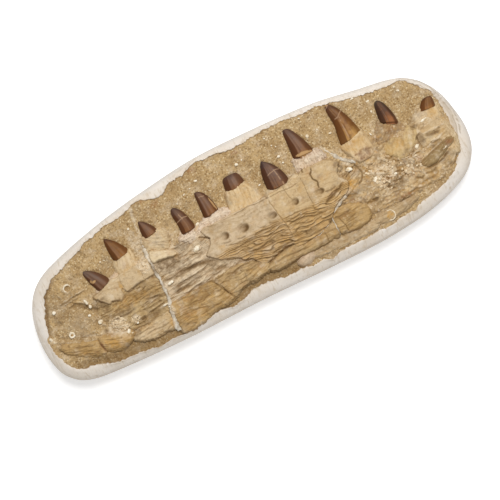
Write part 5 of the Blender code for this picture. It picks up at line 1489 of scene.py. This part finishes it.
def make_grains(rock):
    """Loose grains all over the rock, a few faces each: one grain, doubled until there are enough."""
    rng = np.random.default_rng(7)
    co = surface_places(rock)
    open_top = co[co[:, 2] > ROCK_TOP - 3.2]
    count = 2**GRAIN_DOUBLINGS
    middles = open_top[rng.choice(len(open_top), count, replace=False)]
    bm = bmesh.new()
    number = bm.verts.layers.int.new("number")
    bmesh.ops.create_icosphere(bm, subdivisions=1, radius=1)
    for doubling in range(GRAIN_DOUBLINGS):
        made = bmesh.ops.duplicate(bm, geom=bm.verts[:] + bm.edges[:] + bm.faces[:])["geom"]
        for v in made:
            if isinstance(v, bmesh.types.BMVert):
                v[number] += 2**doubling
    own = np.array([v[number] for v in bm.verts])
    at = places_of(bm.verts)
    size = rng.uniform(*GRAIN_SIZES, count)
    size = size * np.where(rng.random(count) < GRAIN_LARGE_SHARE, GRAIN_LARGER, 1.0)
    stretch = rng.uniform(0.7, 1.35, count)
    turn = rng.uniform(0, 2 * math.pi, count)
    along, across = at[:, 0] * (size * stretch)[own], at[:, 1] * (size / stretch)[own]
    up = at[:, 2] * size[own] * 0.75
    c, s = np.cos(turn)[own], np.sin(turn)[own]
    tilt = rng.uniform(-0.5, 0.5, count)[own]
    middle = middles[own]
    x = middle[:, 0] + along * c - across * s
    y = middle[:, 1] + along * s + across * c
    z = middle[:, 2] + 0.15 * size[own] + up + along * tilt
    for v, place in zip(bm.verts, zip(x, y, z)):
        v.co = place
    bm.verts.layers.int.remove(number)
    return finished("loose_grains", bm, "grains", smooth_faces=False)


def loop_every(loop, step):
    """A closed loop's points, evenly spaced."""
    closed = np.vstack([loop, loop[:1]])
    lengths = np.hypot(*(closed[1:] - closed[:-1]).T)
    reached = np.concatenate([[0], np.cumsum(lengths)])
    count = int(reached[-1] / step)
    at = np.linspace(0, reached[-1], count, endpoint=False)
    return np.stack([np.interp(at, reached, closed[:, k]) for k in (0, 1)], axis=1)


def jacket_rings():
    """The jacket's rings from the floor up its wall, over its rim and down inside: heights and points."""
    loop = loop_curve(JACKET_EDGE, 10)
    middle = (loop.max(axis=0) + loop.min(axis=0)) / 2
    loop = (loop - middle) / (np.ptp(loop, axis=0) / 2) * np.array(JACKET_HALF_SIZE)
    loop = loop_every(loop, PLASTER_STEP)
    along = np.roll(loop, -1, axis=0) - np.roll(loop, 1, axis=0)
    along /= np.hypot(along[:, 0], along[:, 1])[:, None]
    inward = np.stack([-along[:, 1], along[:, 0]], axis=1)
    width = rim_width(loop, inward)
    wall_top, wall_in = WALL[-1]
    rings = []

    def add_ring(height, inset):
        rings.append((height, loop + inward * np.broadcast_to(inset, len(loop))[:, None]))

    for height, inset in WALL:
        leans = np.minimum(WALL_SHARE * width / wall_in, 1) if height > WALL_LEANS_FROM else 1
        add_ring(height, inset * leans)
    start = np.minimum(wall_in, WALL_SHARE * width)
    for row in range(1, RIM_ROWS + 1):
        t = row / RIM_ROWS
        height = RIM_TOP - (RIM_TOP - wall_top) * (1 - t) ** 2 - 0.5 * smooth(0.85, 1, t)
        add_ring(height, start + (width - start) * t)
    add_ring(RIM_TOP - 1.6, width + 0.1)
    add_ring(ROCK_TOP - 3.0, width + 0.5)
    add_ring(TRAY_FLOOR - 0.4, width + 0.5)
    return rings


def make_jacket():
    """The plaster tray: rings drawn up its rounded wall, over its rim to the torn inner edge and down."""
    rings = jacket_rings()
    bm = bmesh.new()
    bmesh.ops.create_circle(bm, segments=len(rings[0][1]), radius=1)
    place = bm.verts.layers.int.new("place")
    in_turn = sorted(bm.verts, key=lambda v: math.atan2(v.co.y, v.co.x) % (2 * math.pi))
    for i, v in enumerate(in_turn):
        v[place] = i
    edges, ring_verts = list(bm.edges), list(bm.verts)
    floor_edges = edges
    for number, (height, points) in enumerate(rings):
        if number:
            edges, ring_verts = drawn_out(bm, edges)
        for v in ring_verts:
            v.co = (*points[v[place]], height)
    bmesh.ops.contextual_create(bm, geom=edges)
    bmesh.ops.contextual_create(bm, geom=floor_edges)
    bm.verts.layers.int.remove(place)
    x, y, z = places_of(bm.verts).T
    bumps = 0.30 * layers(x, y + z, 26, 4, 301) + 0.10 * noise(x / 2.2, (y + z) / 2.2, 302)
    top = smooth(30, 44, z)
    for v, push, high in zip(bm.verts, bumps, top):
        if v.co.z > 1:
            v.co.z += push * (0.4 + 0.6 * high)
    keep_marks(bm, jacket_marks(x, y, z))
    keep_fibres(bm, x, y + z)
    return finished("plaster_tray", bm, "plaster", "plaster_jacket")


def rim_width(loop, inward):
    """How wide the rim is at each place of the outline, out to the rock's bitten edge."""
    rock = loop_curve(ROCK_EDGE, 2)
    width = np.full(len(loop), RIM_NARROWEST)
    found = np.zeros(len(loop), bool)
    for depth in np.arange(RIM_NARROWEST, RIM_WIDEST, RIM_SEARCH):
        p = loop + inward * depth
        away, _, _ = measured(rock, ROCK_BITE, ROCK_SEED, p[:, 0].copy(), p[:, 1].copy())
        hit = (away > 0) & ~found
        width[hit] = depth - RIM_SEARCH * 0.5
        found |= hit
        if found.all():
            break
    return width


def jacket_marks(x, y, z):
    """Where the plaster is streaked with tan, dusty beside the rock, or greyed by painted shade low on its
    wall and on the outer slope of the side towards the light.
    """
    streak = np.zeros_like(x)
    wander = 0.9 * layers(x, y, 12, 3, 311)
    for line, width, strength in RIM_STREAKS:
        away, _ = line_distance(line, x + wander, y + wander)
        streak = np.maximum(streak, strength * np.exp(-((away / width) ** 2)))
    rock = loop_curve(ROCK_EDGE, 2)
    away, _, _ = edge_of(rock, x, y)
    dusty = np.clip(1 + away / 3.5, 0, 1) * smooth(-0.2, 0.9, layers(x, y, 8, 3, 312))
    specks = smooth(0.88, 1.05, noise(x / 3.1, y / 3.1, 313))
    # Painted shade: greyer low on the wall, and on the upper outer slope of the side that faces the light
    reach = np.maximum(np.hypot(x / 3, y), 1e-6)
    lit = smooth(-0.35, 0.35, LIGHT_TOWARDS[0] * x / 3 / reach + LIGHT_TOWARDS[1] * y / reach)
    low = np.maximum(0.4 * smooth(40, 6, z), lit * smooth(43.5, 36, z))
    return {"streak": streak, "dusty": dusty, "specks": specks, "low": low}


# Shader helpers


def node(tree, kind, inputs=None, **settings):
    """A node with its settings and its inputs, each a number, a colour or another node's output."""
    made = tree.nodes.new(kind)
    for name, value in settings.items():
        setattr(made, name, value)
    for name, value in (inputs or {}).items():
        if isinstance(value, bpy.types.NodeSocket):
            tree.links.new(value, made.inputs[name])
        else:
            made.inputs[name].default_value = value
    return made


def blend(tree, factor, first, second, mode="MIX"):
    """A mix of two colours."""
    made = node(tree, "ShaderNodeMix", {0: factor, 6: first, 7: second}, data_type="RGBA", blend_type=mode)
    return made.outputs[2]


def between(tree, value, low, high, start=0.0, end=1.0):
    """A value taken from one range to another, and clamped."""
    made = node(tree, "ShaderNodeMapRange", {0: value, 1: low, 2: high, 3: start, 4: end})
    return made.outputs[0]


def noise_of(tree, vector, scale, detail=3.0, roughness=0.55):
    """Cloudy noise of about 0.3 to 0.7."""
    inputs = {"Vector": vector, "Scale": scale, "Detail": detail, "Roughness": roughness}
    return node(tree, "ShaderNodeTexNoise", inputs).outputs["Fac"]


def mark(tree, name):
    """The number that a mesh carries under a name."""
    return node(tree, "ShaderNodeAttribute", attribute_name=name).outputs["Fac"]


def add(tree, first, second, operation="ADD"):
    return node(tree, "ShaderNodeMath", {0: first, 1: second}, operation=operation).outputs[0]


def times(tree, first, second):
    return add(tree, first, second, "MULTIPLY")


def greater(tree, first, second):
    return add(tree, first, second, "MAXIMUM")


def scaled(tree, vector, factors):
    """A place stretched by its own factor along each axis."""
    return node(tree, "ShaderNodeVectorMath", {0: vector, 1: factors}, operation="MULTIPLY").outputs[0]


def marked(tree, colour, name, strength, over):
    """A colour with another laid over it, as strongly as one of the mesh's marks says."""
    return blend(tree, times(tree, mark(tree, name), strength), colour, over)


def patched(tree, colour, value, low, high, most, over):
    """A colour with another laid over it, more and more where a value goes from low to high."""
    return blend(tree, between(tree, value, low, high, 0.0, most), colour, over)


def place_of(tree):
    return node(tree, "ShaderNodeTexCoord").outputs["Object"]


def fibres_of(tree):
    return node(tree, "ShaderNodeAttribute", attribute_name="fibre").outputs["Vector"]


def new_group(name, inputs, outputs):
    """An empty shader group with named sockets; gives back its tree, its input and its output node."""
    tree = bpy.data.node_groups.new(name, "ShaderNodeTree")
    for label, kind, value in inputs:
        socket = tree.interface.new_socket(name=label, in_out="INPUT", socket_type=kind)
        if value is not None:
            socket.default_value = value
    for label, kind in outputs:
        tree.interface.new_socket(name=label, in_out="OUTPUT", socket_type=kind)
    return tree, tree.nodes.new("NodeGroupInput"), tree.nodes.new("NodeGroupOutput")


FLOAT, COLOUR, VECTOR = "NodeSocketFloat", "NodeSocketColor", "NodeSocketVector"


def grain_speckle_group():
    """Sand grains: light and dark specks, and the height of the grains."""
    inputs = [("Vector", VECTOR, None), ("Grains per metre", FLOAT, 700.0)]
    outputs = [("Light", FLOAT), ("Dark", FLOAT), ("Height", FLOAT)]
    tree, given, result = new_group("grain speckle", inputs, outputs)
    vector, scale = given.outputs["Vector"], given.outputs["Grains per metre"]
    cells = node(tree, "ShaderNodeTexVoronoi", {"Vector": vector, "Scale": scale, "Randomness": 1.0})
    shade = node(tree, "ShaderNodeSeparateColor", {"Color": cells.outputs["Color"]})
    tree.links.new(between(tree, shade.outputs["Red"], 0.80, 0.97), result.inputs["Light"])
    tree.links.new(between(tree, shade.outputs["Green"], 0.72, 0.95), result.inputs["Dark"])
    fine = noise_of(tree, vector, 1500.0, 2.0)
    dome = between(tree, cells.outputs["Distance"], 0.0, 0.8, 1.0, 0.0)
    tree.links.new(add(tree, dome, fine), result.inputs["Height"])


def stain_group():
    """Lays the rust, ochre, pale and grey stains, the shade marks (mostly painted shade) and the hollows'
    painted shade and dirt over a colour.
    """
    inputs = [("Color", COLOUR, (0.5, 0.4, 0.3, 1.0)), ("Vector", VECTOR, None)]
    inputs += [(f"{name} colour", COLOUR, tint(*value)) for name, value in STAIN_COLOURS.items()]
    inputs += [("Dirt colour", COLOUR, tint(112, 82, 42)), ("Shade_and_dirt", FLOAT, 0.6)]
    tree, given, result = new_group("stains and dirt", inputs, [("Color", COLOUR)])
    patchy = noise_of(tree, given.outputs["Vector"], 210.0, 4.0, 0.65)
    colour = given.outputs["Color"]
    for name in STAIN_COLOURS:
        strength = between(tree, patchy, 0.30, 0.62)
        colour = marked(tree, colour, name.lower(), strength, given.outputs[f"{name} colour"])
    # The hollows take painted shade, with some dirt
    colour = marked(tree, colour, "hollow", given.outputs["Shade_and_dirt"], given.outputs["Dirt colour"])
    tree.links.new(colour, result.inputs["Color"])


def fibre_group():
    """Fine streaks along the fibres: a mask for colour and a height for bump."""
    inputs = [("Vector", VECTOR, None), ("Streaks per metre", FLOAT, 900.0)]
    outputs = [("Streak", FLOAT), ("Height", FLOAT)]
    tree, given, result = new_group("bone fibres", inputs, outputs)
    vector = scaled(tree, given.outputs["Vector"], (0.09, 1.0, 1.0))
    wide = noise_of(tree, vector, 320.0, 4.0, 0.6)
    fine = noise_of(tree, vector, given.outputs["Streaks per metre"], 3.0, 0.5)
    tree.links.new(between(tree, wide, 0.36, 0.64), result.inputs["Streak"])
    tree.links.new(add(tree, wide, fine), result.inputs["Height"])


def new_material(name, roughness, **sockets):
    """A material and its nodes, with constants set straight on the sockets of its shader."""
    made = bpy.data.materials.new(name)
    made.use_nodes = True
    inputs = made.node_tree.nodes["Principled BSDF"].inputs
    inputs["Roughness"].default_value = roughness
    for label, value in sockets.items():
        inputs[label.replace("_", " ")].default_value = value
    return made, made.node_tree


def use_group(tree, name, inputs):
    return node(tree, "ShaderNodeGroup", inputs, node_tree=bpy.data.node_groups[name]).outputs


def dressed(made, colour, height=None, strength=0.0, distance=0.0):
    """The material with its colour, and with a bump where there is a height for it."""
    tree = made.node_tree
    inputs = tree.nodes["Principled BSDF"].inputs
    tree.links.new(colour, inputs["Base Color"])
    if height is not None:
        bump = {"Height": height, "Strength": strength, "Distance": distance}
        tree.links.new(node(tree, "ShaderNodeBump", bump).outputs["Normal"], inputs["Normal"])
    return made


# Colours, each as red, green and blue from 0 to 255
STAIN_COLOURS = {
    "Rust": (150, 92, 52),
    "Ochre": (198, 150, 74),
    "Pale": (226, 208, 180),
    "Grey": (150, 132, 108),
    # Shade is the colour of painted shade
    "Shade": (122, 96, 66),
}
ROCK_DARK = tint(164, 132, 88)
ROCK_LIGHT = tint(192, 161, 113)
ROCK_BROWN = tint(152, 118, 72)
ROCK_PALE = tint(206, 180, 138)
# Painted shade beside the plaster rim
ROCK_RIM_SHADE = tint(120, 92, 58)
GRAIN_LIGHT = tint(228, 208, 170)
GRAIN_DARK = tint(128, 98, 60)
DEEP_BONE = tint(198, 158, 98)
PLASTER_LIGHT = tint(230, 221, 210)
PLASTER_WARM = tint(220, 207, 190)
PLASTER_GREY = tint(196, 188, 178)
PLASTER_STREAK = tint(150, 124, 86)
PLASTER_DUST = tint(182, 158, 120)
# Painted shade on the jacket's wall
PLASTER_SHADE = tint(204, 197, 188)


def rock_material():
    """Sandy rock: cloudy ochre with light and dark grains, stained and dusty, with painted shade and some
    dirt in its hollows and painted shade beside the rim.
    """
    made, tree = new_material("rock", 0.95, Specular_IOR_Level=0.2)
    place = place_of(tree)
    cloudy = noise_of(tree, place, 38.0, 5.0, 0.6)
    grainy = noise_of(tree, place, 520.0, 3.0, 0.7)
    patchy = noise_of(tree, place, 95.0, 3.0, 0.6)
    colour = blend(tree, between(tree, cloudy, 0.36, 0.62), ROCK_DARK, ROCK_LIGHT)
    colour = patched(tree, colour, patchy, 0.52, 0.68, 0.45, ROCK_BROWN)
    colour = patched(tree, colour, grainy, 0.40, 0.75, 0.60, ROCK_PALE)
    specks = use_group(tree, "grain speckle", {"Vector": place, "Grains per metre": 640.0})
    colour = blend(tree, times(tree, specks["Light"], 0.70), colour, GRAIN_LIGHT)
    colour = blend(tree, times(tree, specks["Dark"], 0.66), colour, GRAIN_DARK)
    stained = use_group(tree, "stains and dirt", {"Color": colour, "Vector": place, "Shade_and_dirt": 0.62})
    # Painted shade beside the rim
    colour = marked(tree, stained["Color"], "edge", 0.55, ROCK_RIM_SHADE)
    return dressed(made, colour, specks["Height"], 0.55, 0.0006)


def grains_material():
    """Loose grains: each takes its own shade from where it lies."""
    made, tree = new_material("loose grains", 0.9)
    patches = noise_of(tree, place_of(tree), 420.0, 2.0, 0.8)
    colour = blend(tree, between(tree, patches, 0.36, 0.50), tint(140, 108, 66), tint(188, 158, 112))
    return dressed(made, patched(tree, colour, patches, 0.56, 0.68, 1.0, tint(226, 206, 168)))


def bone_material(name, light, mid, dark, streak, shade_and_dirt, roughness=0.72, fibres=900.0, spots=0.25):
    """Fossil bone: cloudy, each layer in its own tone, streaked along its fibres, lighter on its edges and
    crests as painted highlight, dark in its hollows with painted shade and some dirt.
    """
    made, tree = new_material(name, roughness, Specular_IOR_Level=0.35)
    light, mid, dark = (tint(*colour) for colour in (light, mid, dark))
    place = place_of(tree)
    cloudy = noise_of(tree, place, 55.0, 5.0, 0.6)
    toned = add(tree, between(tree, cloudy, 0.35, 0.65, -0.25, 0.75), mark(tree, "tone"))
    colour = blend(tree, between(tree, toned, 0.25, 1.15), mid, light)
    streaks = use_group(tree, "bone fibres", {"Vector": fibres_of(tree), "Streaks per metre": fibres})
    by_tone = between(tree, mark(tree, "tone"), 0.2, 0.8, streak * 1.4, streak * 0.5)
    colour = blend(tree, times(tree, streaks["Streak"], by_tone), colour, dark)
    colour = marked(tree, colour, "deep", 0.80, DEEP_BONE)
    colour = marked(tree, colour, "deep", between(tree, cloudy, 0.5, 0.66, 0.0, 0.4), light)
    specks = use_group(tree, "grain speckle", {"Vector": place, "Grains per metre": 520.0})
    colour = blend(tree, times(tree, specks["Light"], spots), colour, tint(226, 206, 172))
    colour = blend(tree, times(tree, specks["Dark"], spots), colour, tint(120, 90, 56))
    mottled = noise_of(tree, place, 330.0, 4.0, 0.7)
    colour = patched(tree, colour, mottled, 0.52, 0.74, 0.45, mid)
    # Painted highlight on the marked edges and crests
    colour = marked(tree, colour, "edge", 0.60, light)
    stained = use_group(tree, "stains and dirt", {"Color": colour, "Vector": place, "Shade_and_dirt": shade_and_dirt})
    height = add(tree, streaks["Height"], times(tree, mottled, 1.2))
    return dressed(made, stained["Color"], height, 0.55, 0.0006)


def filler_material():
    """Repair paste: grey-white, patchy and fine-grained."""
    made, tree = new_material("filler paste", 0.6)
    place = place_of(tree)
    patches = noise_of(tree, place, 130.0, 5.0, 0.65)
    colour = blend(tree, between(tree, patches, 0.36, 0.62), tint(160, 142, 114), tint(218, 208, 190))
    stained = use_group(tree, "stains and dirt", {"Color": colour, "Vector": place, "Shade_and_dirt": 0.45})
    return dressed(made, stained["Color"], noise_of(tree, place, 900.0, 3.0), 0.3, 0.0003)


def shell_material(name, dull, bright):
    """Shell and pale chips: patches of two light shades."""
    made, tree = new_material(name, 0.6)
    patches = noise_of(tree, place_of(tree), 260.0, 4.0, 0.65)
    colour = blend(tree, between(tree, patches, 0.34, 0.60), dull, bright)
    return dressed(made, colour, patches, 0.4, 0.0004)


def plaster_material():
    """Off-white plaster: faintly blotched, pitted and brushed, streaked with tan by water, and greyed by
    painted shade on its wall.
    """
    made, tree = new_material("plaster", 0.9, Specular_IOR_Level=0.3)
    place = place_of(tree)
    blotches = noise_of(tree, place, 26.0, 5.0, 0.62)
    fine = noise_of(tree, place, 330.0, 4.0, 0.7)
    colour = blend(tree, between(tree, blotches, 0.35, 0.65), PLASTER_WARM, PLASTER_LIGHT)
    colour = patched(tree, colour, fine, 0.52, 0.80, 0.5, PLASTER_GREY)
    brushed = noise_of(tree, scaled(tree, place, (1.0, 0.14, 0.6)), 300.0, 4.0, 0.6)
    colour = patched(tree, colour, brushed, 0.54, 0.74, 0.6, PLASTER_DUST)
    colour = marked(tree, colour, "streak", 0.9, PLASTER_STREAK)
    colour = marked(tree, colour, "dusty", 0.45, PLASTER_DUST)
    colour = marked(tree, colour, "specks", 0.55, tint(150, 122, 82))
    # Painted shade on the wall
    colour = marked(tree, colour, "low", 0.85, PLASTER_SHADE)
    return dressed(made, colour, add(tree, fine, noise_of(tree, place, 900.0, 2.0)), 0.35, 0.0005)


def enamel_material(name, tip, body, base, sides, band=-0.38, tip_from=0.62):
    """Fossil enamel: a greyish face, its grey a painted sheen, between sides darkened to dark amber as
    painted shade, streaked lengthways, lighter along its ridge as a painted highlight, pale where it is worn.
    """
    made, tree = new_material(name, 0.42, Specular_IOR_Level=0.15)
    tip, body, base, sides = (tint(*colour) for colour in (tip, body, base, sides))
    place, along = place_of(tree), fibres_of(tree)
    uneven = noise_of(tree, place, 90.0, 4.0, 0.6)
    height = add(tree, mark(tree, "share"), between(tree, uneven, 0.3, 0.7, -0.16, 0.16))
    colour = blend(tree, between(tree, height, 0.02, 0.40), base, body)
    streaks = noise_of(tree, scaled(tree, along, (0.07, 1.0, 1.0)), 230.0, 5.0, 0.6)
    colour = patched(tree, colour, streaks, 0.48, 0.68, 0.48, sides)
    colour = patched(tree, colour, streaks, 0.45, 0.32, 0.34, tint(160, 114, 76))
    clouds = noise_of(tree, place, 150.0, 4.0, 0.6)
    colour = patched(tree, colour, clouds, 0.52, 0.68, 0.40, tip)
    colour = patched(tree, colour, clouds, 0.46, 0.34, 0.28, base)
    # Painted shade: both flanks of the crown darken to the sides' colour
    beside = add(tree, mark(tree, "beside"), between(tree, uneven, 0.3, 0.7, -0.05, 0.05))
    left = between(tree, beside, band + 0.03, band - 0.05, 0.0, 0.90)
    right = between(tree, beside, 0.40, 0.66, 0.0, 0.66)
    colour = blend(tree, greater(tree, left, right), colour, sides)
    colour = patched(tree, colour, height, tip_from, 1.0, 0.85, tip)
    # Painted highlight along the ridge
    colour = marked(tree, colour, "ridge", 0.12, tint(176, 140, 112))
    colour = marked(tree, colour, "crack", 0.75, tint(186, 152, 120))
    colour = blend(tree, mark(tree, "chip"), colour, tint(184, 146, 100))
    dull = between(tree, greater(tree, mark(tree, "chip"), mark(tree, "crack")), 0.0, 1.0, 0.46, 0.80)
    tree.links.new(dull, tree.nodes["Principled BSDF"].inputs["Roughness"])
    return dressed(made, colour, streaks, 0.30, 0.0004)


# Finishes of bone: the material's name, its light, middle and dark colour, how streaked it is and how
# strongly its hollows take painted shade and dirt, and where they differ from the rest its roughness, fibres
# per metre and specks
BONES = {
    "smooth": ("smooth tan bone", (208, 182, 142), (194, 166, 124), (134, 102, 64), 0.25, 0.6),
    "layered": ("layered bone", (226, 204, 170), (188, 160, 120), (136, 106, 72), 0.5, 0.75),
    "fibrous": ("fibrous bone", (200, 172, 124), (170, 139, 94), (130, 99, 60), 0.55, 0.75),
    "pale_yellow": ("pale yellow bone", (206, 178, 134), (188, 158, 114), (162, 130, 86), 0.35, 0.9),
    "ochre_light": ("light ochre bone", (212, 186, 144), (192, 162, 118), (156, 122, 76), 0.5, 0.7),
    "pale": ("pale bone", (208, 184, 150), (186, 160, 122), (164, 134, 92), 0.35, 0.9),
    "ochre": ("ochre bone", (200, 166, 112), (174, 139, 86), (134, 98, 52), 0.65, 0.7),
    "ochre_pale": ("pale ochre bone", (198, 168, 120), (170, 138, 92), (130, 96, 54), 0.6, 0.75),
    "crumbly": ("crumbly bone", (210, 182, 138), (164, 131, 84), (130, 95, 52), 0.35, 0.75, 0.85, 700, 0.6),
    "yellow": ("yellow bone", (206, 178, 128), (186, 154, 104), (158, 124, 74), 0.35, 0.7),
    "olive": ("olive bone", (164, 137, 92), (138, 110, 68), (106, 78, 42), 0.5, 0.7),
    "cream": ("cream bone", (228, 206, 168), (212, 186, 144), (180, 150, 106), 0.2, 0.6),
    "tan_low": ("low tan bone", (198, 172, 132), (182, 154, 114), (150, 120, 80), 0.4, 0.7, 0.8),
    "pinkish": ("pinkish bone", (214, 190, 160), (200, 172, 138), (168, 136, 98), 0.25, 0.6, 0.8),
    "root": ("tooth root", (222, 196, 154), (206, 174, 126), (170, 132, 78), 0.45, 0.7),
    "crust": ("tan crust", (212, 188, 148), (196, 166, 124), (160, 126, 82), 0.25, 0.7, 0.8),
    "white_crust": ("white crust", (234, 214, 190), (208, 180, 150), (166, 128, 90), 0.25, 0.75, 0.8, 800,
        0.5),
    "red_crust": ("reddish crust", (188, 156, 112), (162, 128, 84), (126, 92, 54), 0.3, 0.7, 0.8, 800, 0.5),
}

# Finishes of enamel: the material's name, the colours of its tip, body (whose grey stands in for sheen), base
# and sides (also the painted shade of the flanks), and where they differ from the rest the place of its left
# side and where its tip begins
ENAMELS = {
    "brown": ("brown enamel", (80, 62, 56), (118, 88, 68), (132, 88, 50), (84, 48, 24)),
    "dark_tip": ("dark tipped enamel", (64, 54, 54), (112, 86, 72), (126, 86, 54), (74, 42, 24), -0.46),
    "grey_tip": ("grey tipped enamel", (96, 84, 76), (114, 88, 72), (118, 80, 52), (88, 52, 28), -0.5),
    "black_tip": ("black tipped enamel", (74, 66, 56), (94, 64, 46), (152, 98, 58), (64, 40, 26)),
    "amber_sides": ("amber sided enamel", (78, 52, 40), (124, 86, 50), (146, 98, 50), (96, 56, 24)),
    "amber_base": ("amber enamel", (70, 50, 44), (134, 90, 46), (188, 144, 82), (98, 58, 24), -0.38, 0.45),
}


def make_finishes():
    """Every finish by its name."""
    grain_speckle_group()
    stain_group()
    fibre_group()
    finishes = {
        "rock": rock_material(),
        "grains": grains_material(),
        "plaster": plaster_material(),
        "filler": filler_material(),
        "shell": shell_material("shell and chips", tint(212, 188, 148), tint(250, 240, 218)),
        "crumbs": shell_material("cream crumbs", tint(200, 172, 130), tint(236, 216, 182)),
    }
    finishes.update({name: bone_material(*look) for name, look in BONES.items()})
    finishes.update({name: enamel_material(*look) for name, look in ENAMELS.items()})
    return finishes


def make_floor():
    """The softly lit table under the model."""
    bm = bmesh.new()
    bmesh.ops.create_grid(bm, x_segments=1, y_segments=1, size=FLOOR_SIZE)
    mesh = bpy.data.meshes.new("floor")
    bm.to_mesh(mesh)
    bm.free()
    floor = placed("floor", mesh)
    looks = {"Base_Color": (0.95, 0.95, 0.95, 1), "Emission_Color": (1.0, 1.0, 1.0, 1)}
    made, _ = new_material("studio floor", 0.9, Specular_IOR_Level=0.0, Emission_Strength=FLOOR_GLOW, **looks)
    mesh.materials.append(made)


def make_light():
    """One broad lamp high up, and a pale sky."""
    data = bpy.data.lights.new("soft key", "AREA")
    data.shape = "DISK"
    data.size = LIGHT_SIZE
    data.energy = LIGHT_POWER
    light = placed("soft key", data)
    flat = Vector((*LIGHT_TOWARDS, 0)).normalized() * math.cos(LIGHT_HEIGHT)
    away = flat + Vector((0, 0, math.sin(LIGHT_HEIGHT)))
    light.location = away * LIGHT_DISTANCE
    light.rotation_euler = away.to_track_quat("Z", "Y").to_euler()
    world = bpy.data.worlds.new("pale studio")
    world.use_nodes = True
    background = world.node_tree.nodes["Background"].inputs
    background["Color"].default_value = (1.0, 1.0, 1.0, 1.0)
    background["Strength"].default_value = SKY
    bpy.context.scene.world = world


def make_camera():
    """The camera straight above the model."""
    data = bpy.data.cameras.new("camera")
    data.lens = CAMERA_LENS
    data.sensor_width = CAMERA_SENSOR
    data.clip_start, data.clip_end = 0.05, 20.0
    camera = placed("camera", data)
    above = VIEW_WIDTH * CAMERA_LENS / CAMERA_SENSOR + RIM_TOP
    camera.location = (CAMERA_AIM[0] * MM, CAMERA_AIM[1] * MM, above * MM)
    camera.rotation_euler = (0, 0, CAMERA_TURN)
    bpy.context.scene.camera = camera
    bpy.context.scene.view_settings.view_transform = "Standard"


FINISHES = make_finishes()
make_camera()
make_light()
make_floor()
make_jacket()
sandy_rock = make_rock()
make_grains(sandy_rock)
surfaces = {relief.name: make_relief(relief, 100 + 10 * order) for order, relief in enumerate(RELIEFS)}
make_crumbs("front_bone_crumbs", surfaces["jaw_front"], BROKEN, 60, 2.5, 91)
make_crumbs("rear_bone_crumbs", surfaces["jaw_rear_fibres"], PEBBLY[:2], 130, 1.7, 92)
make_crumbs("plate_crumbs", surfaces["jaw_rear_plate"], PLATE_DUST, 60, 1.5, 93)
for order, (vein_name, vein_places) in enumerate(VEINS.items()):
    make_vein(vein_name, vein_places, 700 + 10 * order)
for crown in TEETH:
    make_crown(crown)
make_chips()
